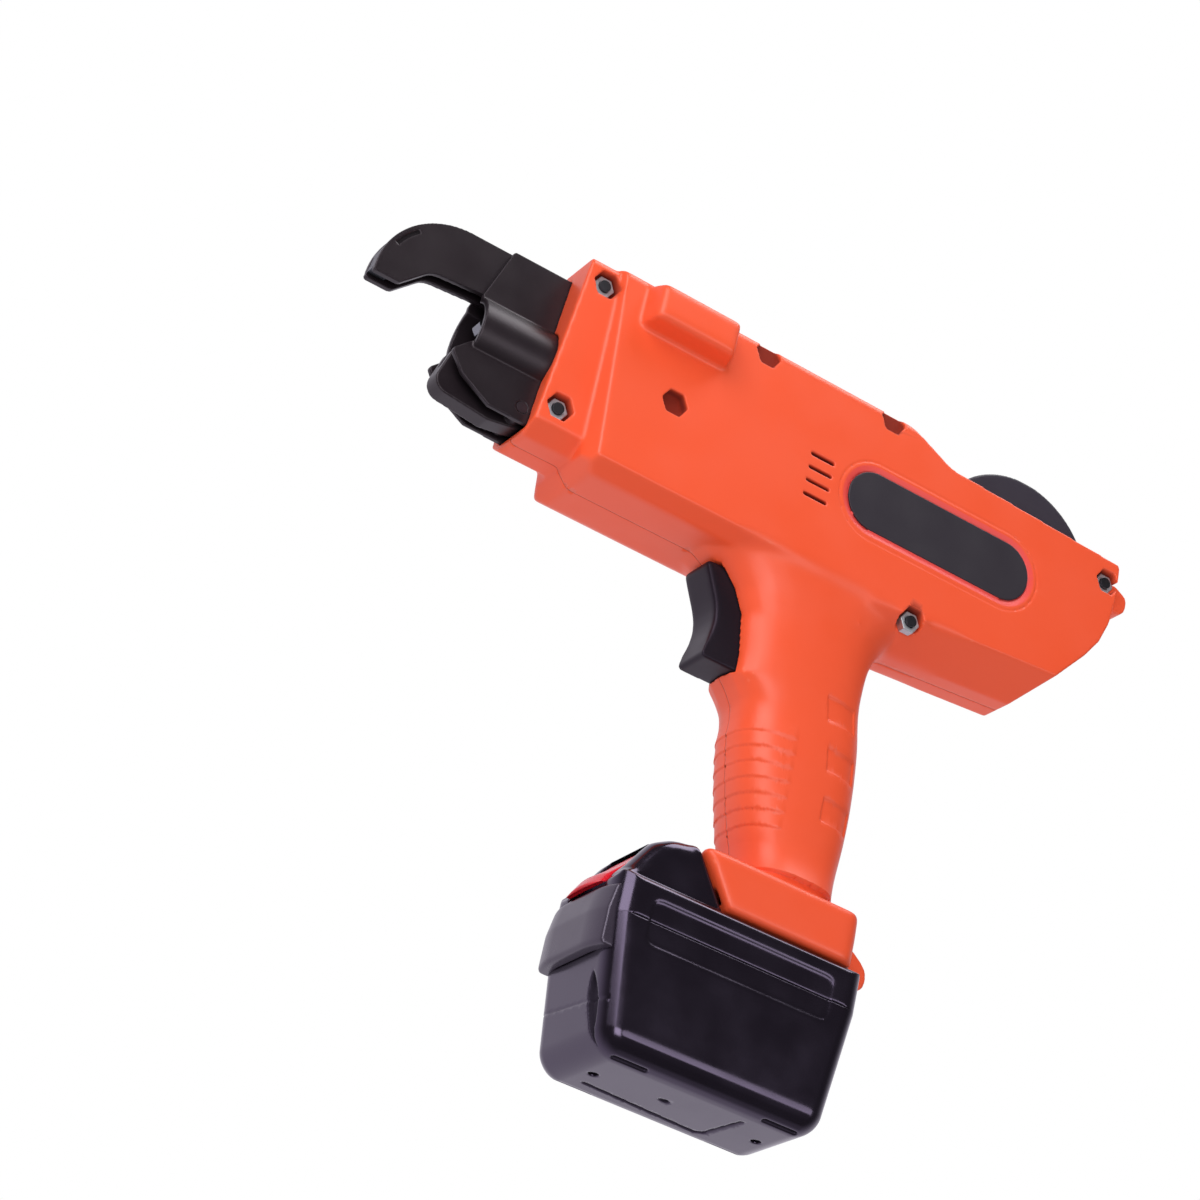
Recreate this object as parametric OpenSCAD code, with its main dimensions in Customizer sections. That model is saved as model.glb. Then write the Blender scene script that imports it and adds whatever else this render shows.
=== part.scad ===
// Cordless rebar tying tool, standing on its battery.
// The nose points to -X, the wire reel sits at +X and the grip's left side faces -Y.

/* [Housing] */
// Height of the twisting axis above the battery's base
axis_h = 218; // [214:1:224]
// Width across the housing
body_w = 42; // [41.6:0.2:46]
// Rise of the top deck above the axis
deck_rise = 38.4; // [38:0.2:41]
// Depth of the belly below the axis
belly_drop = 35.5; // [34.8:0.1:37]
// Depth of the chin below the axis
chin_drop = 29.7; // [29.5:0.1:31]
// Thickness of the moulded walls
wall = 3; // [2.6:0.1:3.4]
// Reach of the front face ahead of the base centre
front_reach = 107.1; // [106.5:0.2:109.5]
// Lean of the front face over the collar's height
front_lean = 4.6; // [3:0.1:6]
// Inset of the front collar's sides at the chin
collar_step = 6.4; // [5:0.1:6.6]
// Half width of the flat along the belly
lower_flat = 14.5; // [13:0.5:16]
// Rise of the chamfers beside it
lower_rise = 3.8; // [3:0.1:4.2]
// Radius along the top edges
top_r = 3; // [1.5:0.1:4]

/* [Grip] */
// Depth of the grip from front to back
grip_d = 46; // [43:0.5:50]
// Width of the grip
grip_w = 35; // [32:0.5:38]
// Height of the finger ribs
rib_h = 0.7; // [0.3:0.1:1.2]
// Number of finger ribs
rib_count = 7; // [3:1:7]

/* [Nose] */
// Reach of the barrel mouth ahead of the base centre
mouth_reach = 133; // [131:0.5:136]
// Outer radius of the barrel
barrel_r = 13; // [12.6:0.1:14]
// Sheet thickness of the nose covers and the curl plates
sheet = 2; // [1.6:0.1:2.2]
// Length of the curl arm ahead of the barrel mouth
arm_l = 37; // [34:0.5:44]
// Outer curl radius of the arm
curl_r = 29; // [25:0.5:29]
// Width of the wire channel between the curl plates
channel_w = 4; // [3:0.1:4.4]
// Length of the lower jaw ahead of the barrel mouth
jaw_l = 8.5; // [7:0.5:12]

/* [Drive] */
// Radius of the twisting motor
motor_r = 16.8; // [15:0.2:17.2]
// Length of the twisting motor
motor_l = 46; // [40:0.5:48]
// Radius of the twisting hook's shaft
shaft_r = 5; // [4:0.1:5.5]
// Teeth on each feed gear
gear_teeth = 18; // [16:1:20]
// Module of the feed gears
gear_module = 0.9; // [0.8:0.05:0.95]
// Room from the back of the twisting motor to the feed gears
feed_room = 22.8; // [21:0.2:25]
// Rise of the wire line above the axis
wire_rise = 25; // [24.5:0.1:26]

/* [Reel] */
// Room from the feed gears to the reel's magazine
reel_room = 19.5; // [18:0.5:22]
// Outer radius of the wire reel
reel_r = 33; // [31:0.5:34]
// Overall width of the wire reel
reel_w = 34; // [30:0.5:36]
// Radius of the wound wire at its outer layer
wind_r = 26; // [20:0.5:30]
// Diameter of the tie wire
wire_d = 0.9; // [0.7:0.05:1]
// Loops in the outer layer
wind_loops = 20; // [8:1:22]

/* [Trigger] */
// Width of the trigger
trigger_w = 15; // [13:0.5:17]
// Travel of the trigger
trigger_travel = 5; // [3:0.5:5]

/* [Battery] */
// Room beside the cells at each side of the battery
pack_room = 3.85; // [3.6:0.05:5.5]
// Length of the battery's base beyond its cells at each end
pack_end = 8; // [6.5:0.5:9.5]
// Room between the cells and the top of the battery's deck
deck_room = 17.5; // [16.5:0.5:18]
// Drop of the seam between the two battery shells below the deck
seam_drop = 13.5; // [11.5:0.5:15.5]
// Radius along the battery's lower edges
pack_r = 8; // [5:0.5:9]
// Travel of the release button
press_travel = 3.5; // [2:0.5:3.5]

/* [Fits] */
// Radial running clearance of shafts and pins
run_fit = 0.05; // [0.02:0.01:0.1]
// Clearance of pieces that slide
slide_gap = 0.4; // [0.3:0.05:0.5]
// Clearance of pieces that are dropped into a seat
seat_gap = 0.15; // [0.05:0.05:0.25]
// Radius of the housing bolts
bolt_r = 2; // [1.5:0.1:2.2]

/* [Hidden] */
$fn = 48;

orange = "#f2582f";
black = "#2c272d";
grey = "#5c5561";
red = "#d81f2a";
steel = "#8d9096";
dark_steel = "#4a4b50";
brass = "#b08d45";
green = "#2f6b46";

// Overrun of every cut past the face that it opens
over = 1;
// Turn of one step along a rounded corner
corner_step = 15;
// Reach of the arm and the jaw
arm_reach = mouth_reach + arm_l;
jaw_reach = mouth_reach + jaw_l;
// Small rounding of moulded edges
edge_r = 1.5;

// Battery cells, two by two, and the sizes that they set
cell_r = 9.1;
cell_l = 65;
cell_gap = 0.4;
pack_floor = 3;
cells_top = pack_floor + cell_r * 4 + cell_gap * 1.5;
pack_l = cell_l + 2 * pack_end;
pack_w = 4 * cell_r + cell_gap + 2 * pack_room;
deck_h = cells_top + deck_room;
seam_h = deck_h - seam_drop;

// Housing places, measured from the base centre and from the axis
half_w = body_w / 2;
inner_w = half_w - wall;
inner_share = 0.75;
collar_w = half_w - collar_step;
collar_taper = 4.1;
collar_top = collar_w + collar_taper;
chin_flat = 7.8;
chin_rise = 4.4;
tail_flat = 6.7;
tail_rise = 9.6;
belly_front = 85.8;
chin_rear = belly_front + belly_drop - chin_drop;
ramp_reach = 89.6;
ramp_l = 3.2;
ramp_lean = 4.5;
rim_rise = 29.4;
rim_fall = 2.4;
drop_r = 11;
heel_drop = 2.5;
heel_r = 40;
tail_drop = 37;
tail_slope = 4.9;
root_x = 20;
cavity_front = belly_front + seat_gap;

// Places that follow from the drive and the reel, front to back
plate_t = 5;
plate_front = cavity_front - seat_gap;
gearbox_front = plate_front - plate_t;
gearbox_l = 34;
motor_back = -gearbox_front + gearbox_l + motor_l;
feed_x = motor_back + feed_room;
feed_back = 14;
cavity_rear = feed_x + feed_back;
reel_gap = 1.3;
mag_r = reel_r + reel_gap;
reel_x = feed_x + reel_room + mag_r;
rear_wall = 8;
rear_reach = reel_x + mag_r + rear_wall;
rim_in = 1.1;
rim_l = 20.1;
rim_start = reel_x - mag_r + rim_in;
deck_end = rim_start - rim_l;
tail_l = 27.6;
tail_x = rear_reach - tail_l;
root_drop = tail_drop + (tail_x - root_x) * tan(tail_slope);
// Span that clears the whole tool on any side
span = arm_reach + rear_reach;
roof_drop = 0.9;
vent_x = -12.2;
vent_rise = 1.9;
vent_l = 9.6;
vent_w = 1.3;
vent_pitch = 5.2;
vent_count = 4;

// Raised block on the left side
block_x = -67.2;
block_l = 34;
block_rise = 28.4;
block_h = 16;
block_out = 9.2;
block_draft = 2.2;
block_r = 2.5;

// Label plate
label_in = 33.2;
label_x = reel_x - label_in;
label_rise = 1.9;
label_r = 11;
label_l = 54.2;
label_t = 0.9;
ring_gap = 3.4;
ring_w = 0.8;
ring_t = 0.5;

// Bolts through the two halves, as places on the side view
top_in = [9.7, 7.7];
chin_in = [5.9, 11.5];
root_in = [18.7, 2.5];
rear_in = [4.2, 10.9];
top_bolt = [-(front_reach - top_in[0]), deck_rise - top_in[1]];
chin_bolt = [-(front_reach - chin_in[0]), -(chin_drop - chin_in[1])];
root_bolt = [root_x + root_in[0], -(belly_drop - root_in[1])];
rear_bolt = [rear_reach - rear_in[0], rim_rise - rear_in[1]];
bolts = [top_bolt, chin_bolt, root_bolt, rear_bolt];
// Hex sockets that stay open
axis_socket = [-65.2, -0.3];
socket_in = [3.2, 2.8];
deck_socket = [-35.6, deck_rise - socket_in[0]];
drop_socket = [16.5, deck_rise - socket_in[1]];
sockets = [axis_socket, deck_socket, drop_socket];
socket_depths = [4, 2.4, 2.4];
socket_floor = 0.8;
hex_r = 5;
hex_depth = 5.5;
nut_r = 3.9;
nut_t = 3.2;
head_r = 3.6;
head_t = 3;
bolt_end = 1;

// Nose
skirt_y = 9;
plate_y = channel_w / 2 + sheet;
cover_y = plate_y + sheet;
cover_rear = 95;
cover_notch = 101.6;
cover_rise = 33.6;
notch_rise = 23.4;
bore_r = barrel_r - sheet;
arm_rise = 33.4;
arm_low = 14;
tip_rise = 3;
tip_l = 9.5;
knee_l = 19;
knee_rise = 12.5;
groove_r = 25.5;
groove_l = 5;
groove_x = -(mouth_reach + groove_l);
jaw_t = 7;
jaw_pin_x = -111.6;
jaw_pin_drop = 21.2;
jaw_pin_r = 2;
jaw_boss_r = 4;

// Drive
gearbox_r = 15.2;
bush_r = 9;
hook_front = 131;
hook_r = 9.6;
hook_t = 5;
hook_disc = 4;
hook_neck = 112;
tube_r = 2;
wire_bore = 0.9;
cutter_r = 3;
cutter_rear = plate_front;
cutter_l = 6.5;
cutter_x = -(cutter_rear + cutter_l / 2);
cutter_drop = 5;
cutter_up = 2.6;
cutter_y = plate_y - seat_gap;
gear_r = gear_module * gear_teeth / 2;
gear_t = 6;
gear_addendum = 0.9;
gear_dedendum = 1.2;
pressure = 20;
backlash = 1.2;
hub_t = 3.2;
hub_r = 4;
post_r = 2;
hub_gap = 0.3;
bracket_rise = wire_rise - gear_t / 2 - hub_t - hub_gap;
bracket_t = 3;
bracket_l = 26;
feed_motor_r = 9.4;
feed_motor_l = 42;

// Reel and its lever
reel_rise = 9;
flange_t = 1.6;
hub_core_r = 14;
axle_r = 5;
axle_seat = 1.5;
lever_w = 26;
lever_tail = 10.4;
lever_reach = rear_reach + lever_tail;
lever_t = 11;
lever_boss_r = 4.4;

// Grip loft: shares of its height, then of its depth and half width
grip_rise = 16.5;
grip_sink = 32;
grip_low = deck_h + grip_rise;
grip_high = axis_h - grip_sink;
grip_h = grip_high - grip_low;
grip_x = 13;
front_shares = [[0, 0.25], [0.09, 0.276], [0.125, 0.293], [0.232, 0.374], [0.339, 0.441], [0.446, 0.491],
  [0.554, 0.522], [0.598, 0.598], [0.625, 0.663], [0.696, 0.67], [0.8125, 0.717], [0.884, 0.815],
  [0.9375, 0.957], [1, 1.24]];
rear_shares = [[0, 0.457], [0.09, 0.491], [0.125, 0.5], [0.232, 0.522], [0.339, 0.53], [0.446, 0.522],
  [0.554, 0.5], [0.598, 0.483], [0.625, 0.47], [0.696, 0.443], [0.8125, 0.452], [0.884, 0.5],
  [0.9375, 0.598], [1, 0.804]];
width_shares = [[0, 1.02], [0.09, 0.98], [0.125, 0.97], [0.232, 0.99], [0.339, 1], [0.446, 0.99],
  [0.554, 0.97], [0.598, 0.97], [0.625, 0.97], [0.696, 0.99], [0.8125, 1.02], [0.884, 1.06],
  [0.9375, 1.11], [1, 1.15]];
grip_power = 0.74;
grip_turns = 12;
rib_low_share = 0.165;
rib_step_share = 0.049;
rib_foot_share = 0.013;
rib_top_share = 0.006;
rib_full = 45;
rib_end = 75;
rib_heights = [for (k = [0:rib_count - 1]) for (e = [-rib_foot_share, -rib_top_share, rib_top_share,
  rib_foot_share]) rib_low_share + k * rib_step_share + e];
clear_heights = [for (s = front_shares) if (s[0] < rib_low_share - rib_foot_share
  || s[0] > rib_low_share + (rib_count - 1) * rib_step_share + rib_foot_share) s[0]];
ring_heights = [for (s = clear_heights) if (s < rib_low_share) s];
high_heights = [for (s = clear_heights) if (s > rib_low_share) s];
grip_heights = concat(ring_heights, rib_heights, high_heights);

// Trigger and switch
trigger_drop = 39;
trigger_h = 34.4;
trigger_high = axis_h - trigger_drop;
trigger_low = trigger_high - trigger_h;
trigger_front = -35.2;
trigger_waist = -26.4;
trigger_foot = -29.2;
trigger_back = -9;
waist_drop = 18;
stem_r = 2.5;
stem_l = 9.5;
switch_front = -1.5;
switch_l = 23;
switch_w = 19;
switch_drop = 68;
switch_low = axis_h - switch_drop;
switch_h = 22;
stem_h = switch_low + switch_h / 2;
spring_r = 4.4;
spring_d = 0.8;
spring_turns = 3;

// Control board
board_drop = 28;
board_t = 1.6;
board_w = 33;
board_front = -60;
board_l = 62;
stand_r = 3;
stand_x = [-54, -2];
stand_y = 13;
chip_l = 9;
chip_t = 4;

// Foot of the grip
foot_gap = 0.7;
foot_rise = 19.1;
foot_low = deck_h + foot_gap;
foot_top = deck_h + foot_rise;
foot_front = -7.6;
foot_lean = 13;
foot_over = 0.3;
foot_rear = pack_l / 2 + foot_over;
foot_w = 44.6;
foot_r = 3;
foot_corner = 6;
lug_w = 14;
lug_l = 13.4;
lug_rise = 14.5;
lug_top = deck_h + lug_rise;
rail_w = 30;
rail_flange = 3;
rail_t = 3.2;
rail_neck = 3.7;
rail_front = -4;
rail_in = 3.5;
rail_rear = pack_l / 2 - rail_in;
channel_top = deck_h + rail_neck + rail_t + slide_gap;
terminal_in = 3;
terminal_l = 22;
block_rear = rail_rear - terminal_in;
block_front = block_rear - terminal_l;
blade_y = 7;
blade_t = 1;
clip_t = 0.4;
slot_w = 3;
blade_end = 1.8;

// Battery
pack_flare = 5.6;
pack_corner = 4;
pack_wall = 2.4;
hump_w = 38;
hump_in = 1.1;
hump_l = 12;
hump_front = -(pack_l / 2 + pack_flare - hump_in);
hump_crest = hump_front + hump_l;
hump_rise = 18.7;
hump_top = deck_h + hump_rise;
hump_gap = 0.5;
panel_w = 39;
panel_drop = 4.5;
panel_h = 21;
panel_high = deck_h - panel_drop;
panel_low = panel_high - panel_h;
panel_t = 3;
cell_cap_r = 3;
cell_cap_t = 1;
screw_r = 1.5;
screw_in = 10.5;
screw_x = pack_l / 2 - screw_in;
screw_y = 8;
button_w = 22;
button_t = 7;
latch_x = 1;
latch_l = 6;
latch_w = 14;
latch_rise = 3;
latch_spring_r = 3;
latch_turns = 4;
recess_in = 6.5;
recess_l = pack_l - 2 * recess_in;
recess_h = 15;
recess_t = 0.5;
recess_r = 3;
foot_slot_l = 13;
foot_slot_w = 1.4;
foot_slot_t = 1;

// Unit vector along a plane vector
function unit(v) = v / norm(v);

// Corners [x, y, r] of an outline, each rounded by an arc of radius r
function rounded(p) = [for (i = [0:len(p) - 1])
  let (b = [p[i][0], p[i][1]], r = p[i][2], q = p[(i + len(p) - 1) % len(p)], s = p[(i + 1) % len(p)],
    u = unit([q[0], q[1]] - b), w = unit([s[0], s[1]] - b), half = acos(u * w) / 2)
  each r == 0 ? [b] : arc(b + unit(u + w) * r / sin(half), b + u * r / tan(half), b + w * r / tan(half),
    r)];

// Points of the short arc about c from a to b
function arc(c, a, b, r) =
  let (from = atan2(a[1] - c[1], a[0] - c[0]), to = atan2(b[1] - c[1], b[0] - c[0]),
    turn = (to - from + 540) % 360 - 180, n = max(1, ceil(abs(turn) / corner_step)))
  [for (k = [0:n]) c + r * [cos(from + turn * k / n), sin(from + turn * k / n)]];

// Front face of the collar at a rise above the axis
function front_x(v) = -front_reach + front_lean * v / (deck_rise + chin_drop);

// A plane shape on the side view, drawn out from y0 to y1
module along_y(y0, y1) {
  translate([0, y1, 0]) rotate([90, 0, 0]) linear_extrude(y1 - y0) children();
}

// A plane shape on the front view, drawn out from x0 to x1
module along_x(x0, x1) {
  translate([x0, 0, 0]) rotate([90, 0, 90]) linear_extrude(x1 - x0) children();
}

// A plane shape on the plan, drawn out from z0 to z1
module along_z(z0, z1) {
  translate([0, 0, z0]) linear_extrude(z1 - z0) children();
}

module outline(p) {
  polygon(rounded(p));
}

// A rectangle from corner to corner with rounded corners
module panel(x0, x1, z0, z1, r) {
  outline([[x0, z0, r], [x1, z0, r], [x1, z1, r], [x0, z1, r]]);
}

// A box from corner to corner
module block(x0, x1, y0, y1, z0, z1) {
  translate([x0, y0, z0]) cube([x1 - x0, y1 - y0, z1 - z0]);
}

// A round bar across the tool at a place on the side view
module bar_y(at, y0, y1, r) {
  translate([at[0], y1, axis_h + at[1]]) rotate([90, 0, 0]) cylinder(h = y1 - y0, r = r);
}

// A round bar along the tool at a height above the axis
module bar_x(x0, x1, v, r) {
  translate([x0, 0, axis_h + v]) rotate([0, 90, 0]) cylinder(h = x1 - x0, r = r);
}

// A hex bar across the tool, its flats along the tool
module hex_y(at, y0, y1, r) {
  translate([at[0], y1, axis_h + at[1]]) rotate([90, 0, 0]) cylinder(h = y1 - y0, r = r, $fn = 6);
}

// What lies on one side of the parting plane, -1 left and 1 right
module one_side(side) {
  intersection() {
    children();
    block(-span, span, min(0, side * span), max(0, side * span), -over, span + axis_h);
  }
}

// A tube of six sides swept along points, each with the frame [point, side, up]
function sweep_points(path, r) = [for (f = path) for (k = [0:5])
  f[0] + r * (cos(60 * k) * f[1] + sin(60 * k) * f[2])];

module sweep(path, r) {
  n = len(path);
  polyhedron(sweep_points(path, r), concat(
    [for (i = [0:n - 2]) for (k = [0:5]) each [
      [6 * i + k, 6 * i + (k + 1) % 6, 6 * i + 6 + (k + 1) % 6],
      [6 * i + k, 6 * i + 6 + (k + 1) % 6, 6 * i + 6 + k]]],
    [for (k = [1:4]) [0, k + 1, k]],
    [for (k = [1:4]) [6 * n - 6, 6 * n - 6 + k, 6 * n - 6 + k + 1]]));
}

// Frames of a coil about Z: turns at radius r and pitch p, rings to the turn
function coil(r, p, turns, rings) = [for (i = [0:turns * rings]) let (a = 360 * i / rings)
  [[r * cos(a), r * sin(a), p * i / rings], [cos(a), sin(a), 0], [0, 0, 1]]];

// Housing outline on the side view
module body_side() {
  outline([
    [front_x(-chin_drop), axis_h - chin_drop, edge_r],
    [front_x(deck_rise), axis_h + deck_rise, edge_r],
    [deck_end, axis_h + deck_rise, drop_r],
    [rim_start, axis_h + rim_rise, drop_r],
    [rear_reach, axis_h + rim_rise - rim_fall, edge_r],
    [rear_reach, axis_h - heel_drop, heel_r],
    [tail_x, axis_h - tail_drop, edge_r],
    [root_x, axis_h - root_drop, 0],
    [root_x, axis_h - belly_drop, 0],
    [-belly_front, axis_h - belly_drop, edge_r],
    [-chin_rear, axis_h - chin_drop, edge_r]]);
}

module section(w, low, high, low_r, high_r) {
  outline([[-w, low, low_r], [w, low, low_r], [w, high, high_r], [-w, high, high_r]]);
}

// What a rounding of radius r takes off the two edges at a half width and a height
module edge_cut(w, z, up, r) {
  for (side = [-1, 1]) difference() {
    translate([side * (w - r / 2 + over / 2) - r / 2 - over / 2,
      z - r / 2 + up * (over - r) / 2 - over / 2])
      square([r + over, r + over]);
    translate([side * (w - r), z - up * r]) circle(r = r);
  }
}

// What a chamfer takes off the two lower edges beside a flat at a height
module chamfer_cut(z, flat, rise) {
  slope = rise / (half_w - flat);
  for (side = [-1, 1]) polygon([[side * (flat - over), z - over * slope],
    [side * (half_w + over), z - over * slope], [side * (half_w + over), z + rise + over * slope]]);
}

// Section of the front collar, narrower towards the chin
module collar_section() {
  low = axis_h - chin_drop;
  high = axis_h + deck_rise;
  outline([[-chin_flat, low, 0], [chin_flat, low, 0], [collar_w, low + chin_rise, 0], [collar_top, high,
    top_r],
    [-collar_top, high, top_r], [-collar_w, low + chin_rise, 0]]);
}

// Half width of the collar at a rise above the axis
function collar_at(v) = collar_w + collar_taper * (v + chin_drop - chin_rise) / (deck_rise + chin_drop -
  chin_rise);

// Outside of both housing halves without the grip
module body_form() {
  difference() {
    intersection() {
      along_y(-half_w, half_w) body_side();
      union() {
        along_x(-span, -belly_front) collar_section();
        translate([-ramp_reach, 0, axis_h]) rotate([0, -ramp_lean, 0]) along_z(-span, span)
          polygon([[-ramp_l, -collar_w], [0, -half_w], [span, -half_w], [span, half_w], [0, half_w],
            [-ramp_l, collar_w]]);
      }
    }
    along_x(-chin_rear - ramp_l, span) edge_cut(half_w, axis_h + deck_rise, 1, top_r);
    along_x(-chin_rear, root_x + over) chamfer_cut(axis_h - belly_drop, lower_flat, lower_rise);
    translate([tail_x, 0, axis_h - tail_drop]) rotate([0, -tail_slope, 0])
      along_x(root_x - tail_x, rear_reach - root_x) chamfer_cut(0, tail_flat, tail_rise);
  }
}

// One side of the grip, lofted through rounded sections with ribs on its front
function rib_at(s) = let (k = (s - rib_low_share) / rib_step_share, d = abs(k - round(k)) * rib_step_share)
  (round(k) < 0 || round(k) > rib_count - 1) ? 0 : d < (rib_top_share + rib_foot_share) / 2 ? 1 : 0;
function rib_span(t) = t < rib_full ? 1 : t > rib_end ? 0 : (rib_end - t) / (rib_end - rib_full);
function grip_ring(s, side) =
  let (x0 = grip_x - grip_d * lookup(s, front_shares), x1 = grip_x + grip_d * lookup(s, rear_shares),
    mid = (x0 + x1) / 2, a = (x1 - x0) / 2, b = grip_w / 2 * lookup(s, width_shares))
  [for (k = [0:grip_turns]) let (t = 180 * k / grip_turns, e = rib_h * rib_at(s) * rib_span(t),
      c = cos(t), d = sin(t))
    [mid - (a + e) * sign(c) * pow(abs(c), grip_power), k == 0 || k == grip_turns ? 0
      : side * (b + e) * pow(d, grip_power), grip_low + grip_h * s]];

module grip_form(side) {
  n = len(grip_heights);
  m = grip_turns + 1;
  faces = concat(
    [for (i = [0:n - 2]) for (k = [0:m - 1]) each [
      [i * m + k, i * m + (k + 1) % m, (i + 1) * m + (k + 1) % m],
      [i * m + k, (i + 1) * m + (k + 1) % m, (i + 1) * m + k]]],
    [for (k = [1:m - 2]) [0, k + 1, k]],
    [for (k = [1:m - 2]) [(n - 1) * m, (n - 1) * m + k, (n - 1) * m + k + 1]]);
  turned = side > 0 ? faces : [for (f = faces) [f[0], f[2], f[1]]];
  polyhedron([for (s = grip_heights) each grip_ring(s, side)], turned);
}

// Foot under the grip, with the lug behind it
module foot_form() {
  intersection() {
    along_y(-foot_w / 2, foot_w / 2) outline([[foot_front, foot_low, edge_r],
      [foot_front - foot_lean, foot_top, edge_r], [foot_rear, foot_top, foot_r], [foot_rear, foot_low,
        edge_r]]);
    along_x(-span, span) section(foot_w / 2, foot_low - foot_corner, foot_top, 0, foot_r);
    along_z(0, span) panel(foot_front - foot_lean, foot_rear, -foot_w / 2, foot_w / 2, foot_corner);
  }
  along_y(-lug_w / 2, lug_w / 2) outline([[foot_rear - lug_l, foot_low, 0], [foot_rear - lug_l, lug_top, 0],
    [foot_rear + lug_l / 2, lug_top, lug_l / 3], [foot_rear + lug_l, lug_top - lug_l / 2, lug_l / 3],
    [foot_rear + lug_l, foot_low, lug_l / 4]]);
}

// Section of the nose where it enters the collar, widened by g
module nose_slot(g) {
  translate([0, axis_h]) circle(r = barrel_r + g);
  square_up(cover_y + g, axis_h, axis_h + cover_rise + g);
  square_up(skirt_y + g, axis_h - chin_drop + wall, axis_h - barrel_r / 2);
}

module square_up(w, z0, z1) {
  translate([-w, z0]) square([2 * w, z1 - z0]);
}

// Rooms inside the housing
module rooms() {
  floor_h = axis_h - belly_drop + wall;
  roof_h = axis_h + deck_rise - wall;
  intersection() {
    along_y(-inner_w, inner_w) outline([[-cavity_front, floor_h + wall / 2, 0],
      [-cavity_front + wall / 2, floor_h, 0], [cavity_rear, floor_h, edge_r],
      [cavity_rear, axis_h + rim_rise - roof_drop, edge_r], [deck_end - sheet, roof_h, edge_r],
      [-cavity_front, roof_h, 0]]);
    along_x(-span, span) polygon([[-lower_flat + over, floor_h], [lower_flat - over, floor_h],
      [inner_w, floor_h + lower_rise * inner_share], [inner_w, roof_h], [-inner_w, roof_h],
      [-inner_w, floor_h + lower_rise * inner_share]]);
  }
  along_x(-span, -cavity_front + over) nose_slot(seat_gap);
  bar_y([reel_x, reel_rise], -inner_w, inner_w, mag_r);
  along_y(-inner_w, inner_w) panel(reel_x - mag_r + wall, reel_x + mag_r / 2,
    axis_h - tail_drop / 2 - wall, axis_h + reel_rise, edge_r);
  bar_x(cavity_rear - over, reel_x, wire_rise, tube_r + seat_gap);
  lever_room();
  block(trigger_front - trigger_travel, trigger_back + trigger_travel + slide_gap,
    -trigger_w / 2 - slide_gap, trigger_w / 2 + slide_gap, trigger_low - slide_gap,
      trigger_high + slide_gap);
  block(trigger_back, switch_front + switch_l + seat_gap, -switch_w / 2 - seat_gap, switch_w / 2 + seat_gap,
    switch_low - seat_gap, switch_low + switch_h + seat_gap);
  block(switch_front + spring_r, switch_front + switch_l / 2, -stem_r * 2, stem_r * 2,
    switch_low + switch_h,
    axis_h - belly_drop + wall + over);
  block(grip_x - stem_r, grip_x + spring_r * 2, -stem_r * 2, stem_r * 2, channel_top, switch_low + over);
  rail_room();
}

// Slot in the rear wall for the lever
module lever_room() {
  block(reel_x, rear_reach + over, -lever_w / 2 - slide_gap, lever_w / 2 + slide_gap,
    axis_h + rear_bolt[1] - lever_boss_r - slide_gap * 2, axis_h + rim_rise + over);
}

// Channel for the battery's rails, and the seat of the terminal block above it
module rail_room() {
  g = slide_gap;
  low = foot_low - over;
  block(-span / 4, rail_rear + g, -rail_w / 2 - g, rail_w / 2 + g, low, channel_top);
  block(-span / 4, rail_rear + g, -rail_w / 2 - rail_flange - g, rail_w / 2 + rail_flange + g,
    deck_h + rail_neck - g, channel_top);
  block(-span / 4, latch_x + latch_l + g, -latch_w / 2 - g, latch_w / 2 + g, low,
    channel_top + latch_rise);
  block(block_front - seat_gap, block_rear + seat_gap, -rail_w / 2 + wall - seat_gap,
    rail_w / 2 - wall + seat_gap, channel_top - over, foot_top - edge_r);
}

// Raised block, drawn in towards its outer face
module side_block() {
  low = axis_h + block_rise - block_h / 2;
  high = axis_h + block_rise + block_h / 2;
  d = block_draft;
  intersection() {
    along_y(-half_w - block_out, -half_w + wall) panel(block_x - block_l / 2, block_x + block_l / 2, low,
      high, block_r);
    along_z(low, high) outline([[block_x - block_l / 2, -half_w + wall, 0],
      [block_x - block_l / 2, -half_w, 0], [block_x - block_l / 2 + d, -half_w - block_out, block_r],
      [block_x + block_l / 2 - d, -half_w - block_out, block_r], [block_x + block_l / 2, -half_w, 0],
      [block_x + block_l / 2, -half_w + wall, 0]]);
    along_x(-span, span) outline([[-half_w + wall, low, 0], [-half_w, low, 0],
      [-half_w - block_out, low + d / 2, block_r], [-half_w - block_out, high - d, block_r], [-half_w,
        high, 0],
      [-half_w + wall, high, 0]]);
  }
}

module stadium(l, r) {
  hull_free(l, r);
}

// Two half discs and the straight between them
module hull_free(l, r) {
  translate([-l / 2, 0]) circle(r = r);
  translate([l / 2, 0]) circle(r = r);
  translate([-l / 2, -r]) square([l, 2 * r]);
}

module label_spot() {
  translate([label_x, axis_h + label_rise]) children();
}

// Cuts that both halves share
module shared_cuts() {
  rooms();
  for (at = bolts) bar_y(at, -span, span, bolt_r + seat_gap);
  bar_y([reel_x, reel_rise], -half_w + axle_seat, half_w - axle_seat, axle_r + seat_gap / 3);
  for (k = [0:vent_count - 1]) block(vent_x, vent_x + vent_l, -span, span,
    axis_h + vent_rise + (vent_count / 2 - k - 1) * vent_pitch,
    axis_h + vent_rise + (vent_count / 2 - k - 1) * vent_pitch + vent_w);
}

module stands(side) {
  for (x = stand_x) translate([x, side * stand_y, axis_h - belly_drop + wall - over])
    cylinder(h = belly_drop - wall - board_drop + over, r = stand_r);
}

module axle_boss(side) {
  difference() {
    bar_y([reel_x, reel_rise], min(side * (reel_w / 2 + slide_gap), side * (half_w - wall / 2)),
      max(side * (reel_w / 2 + slide_gap), side * (half_w - wall / 2)), axle_r * 2);
    bar_y([reel_x, reel_rise], -half_w + axle_seat, half_w - axle_seat, axle_r + seat_gap / 3);
  }
}

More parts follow.
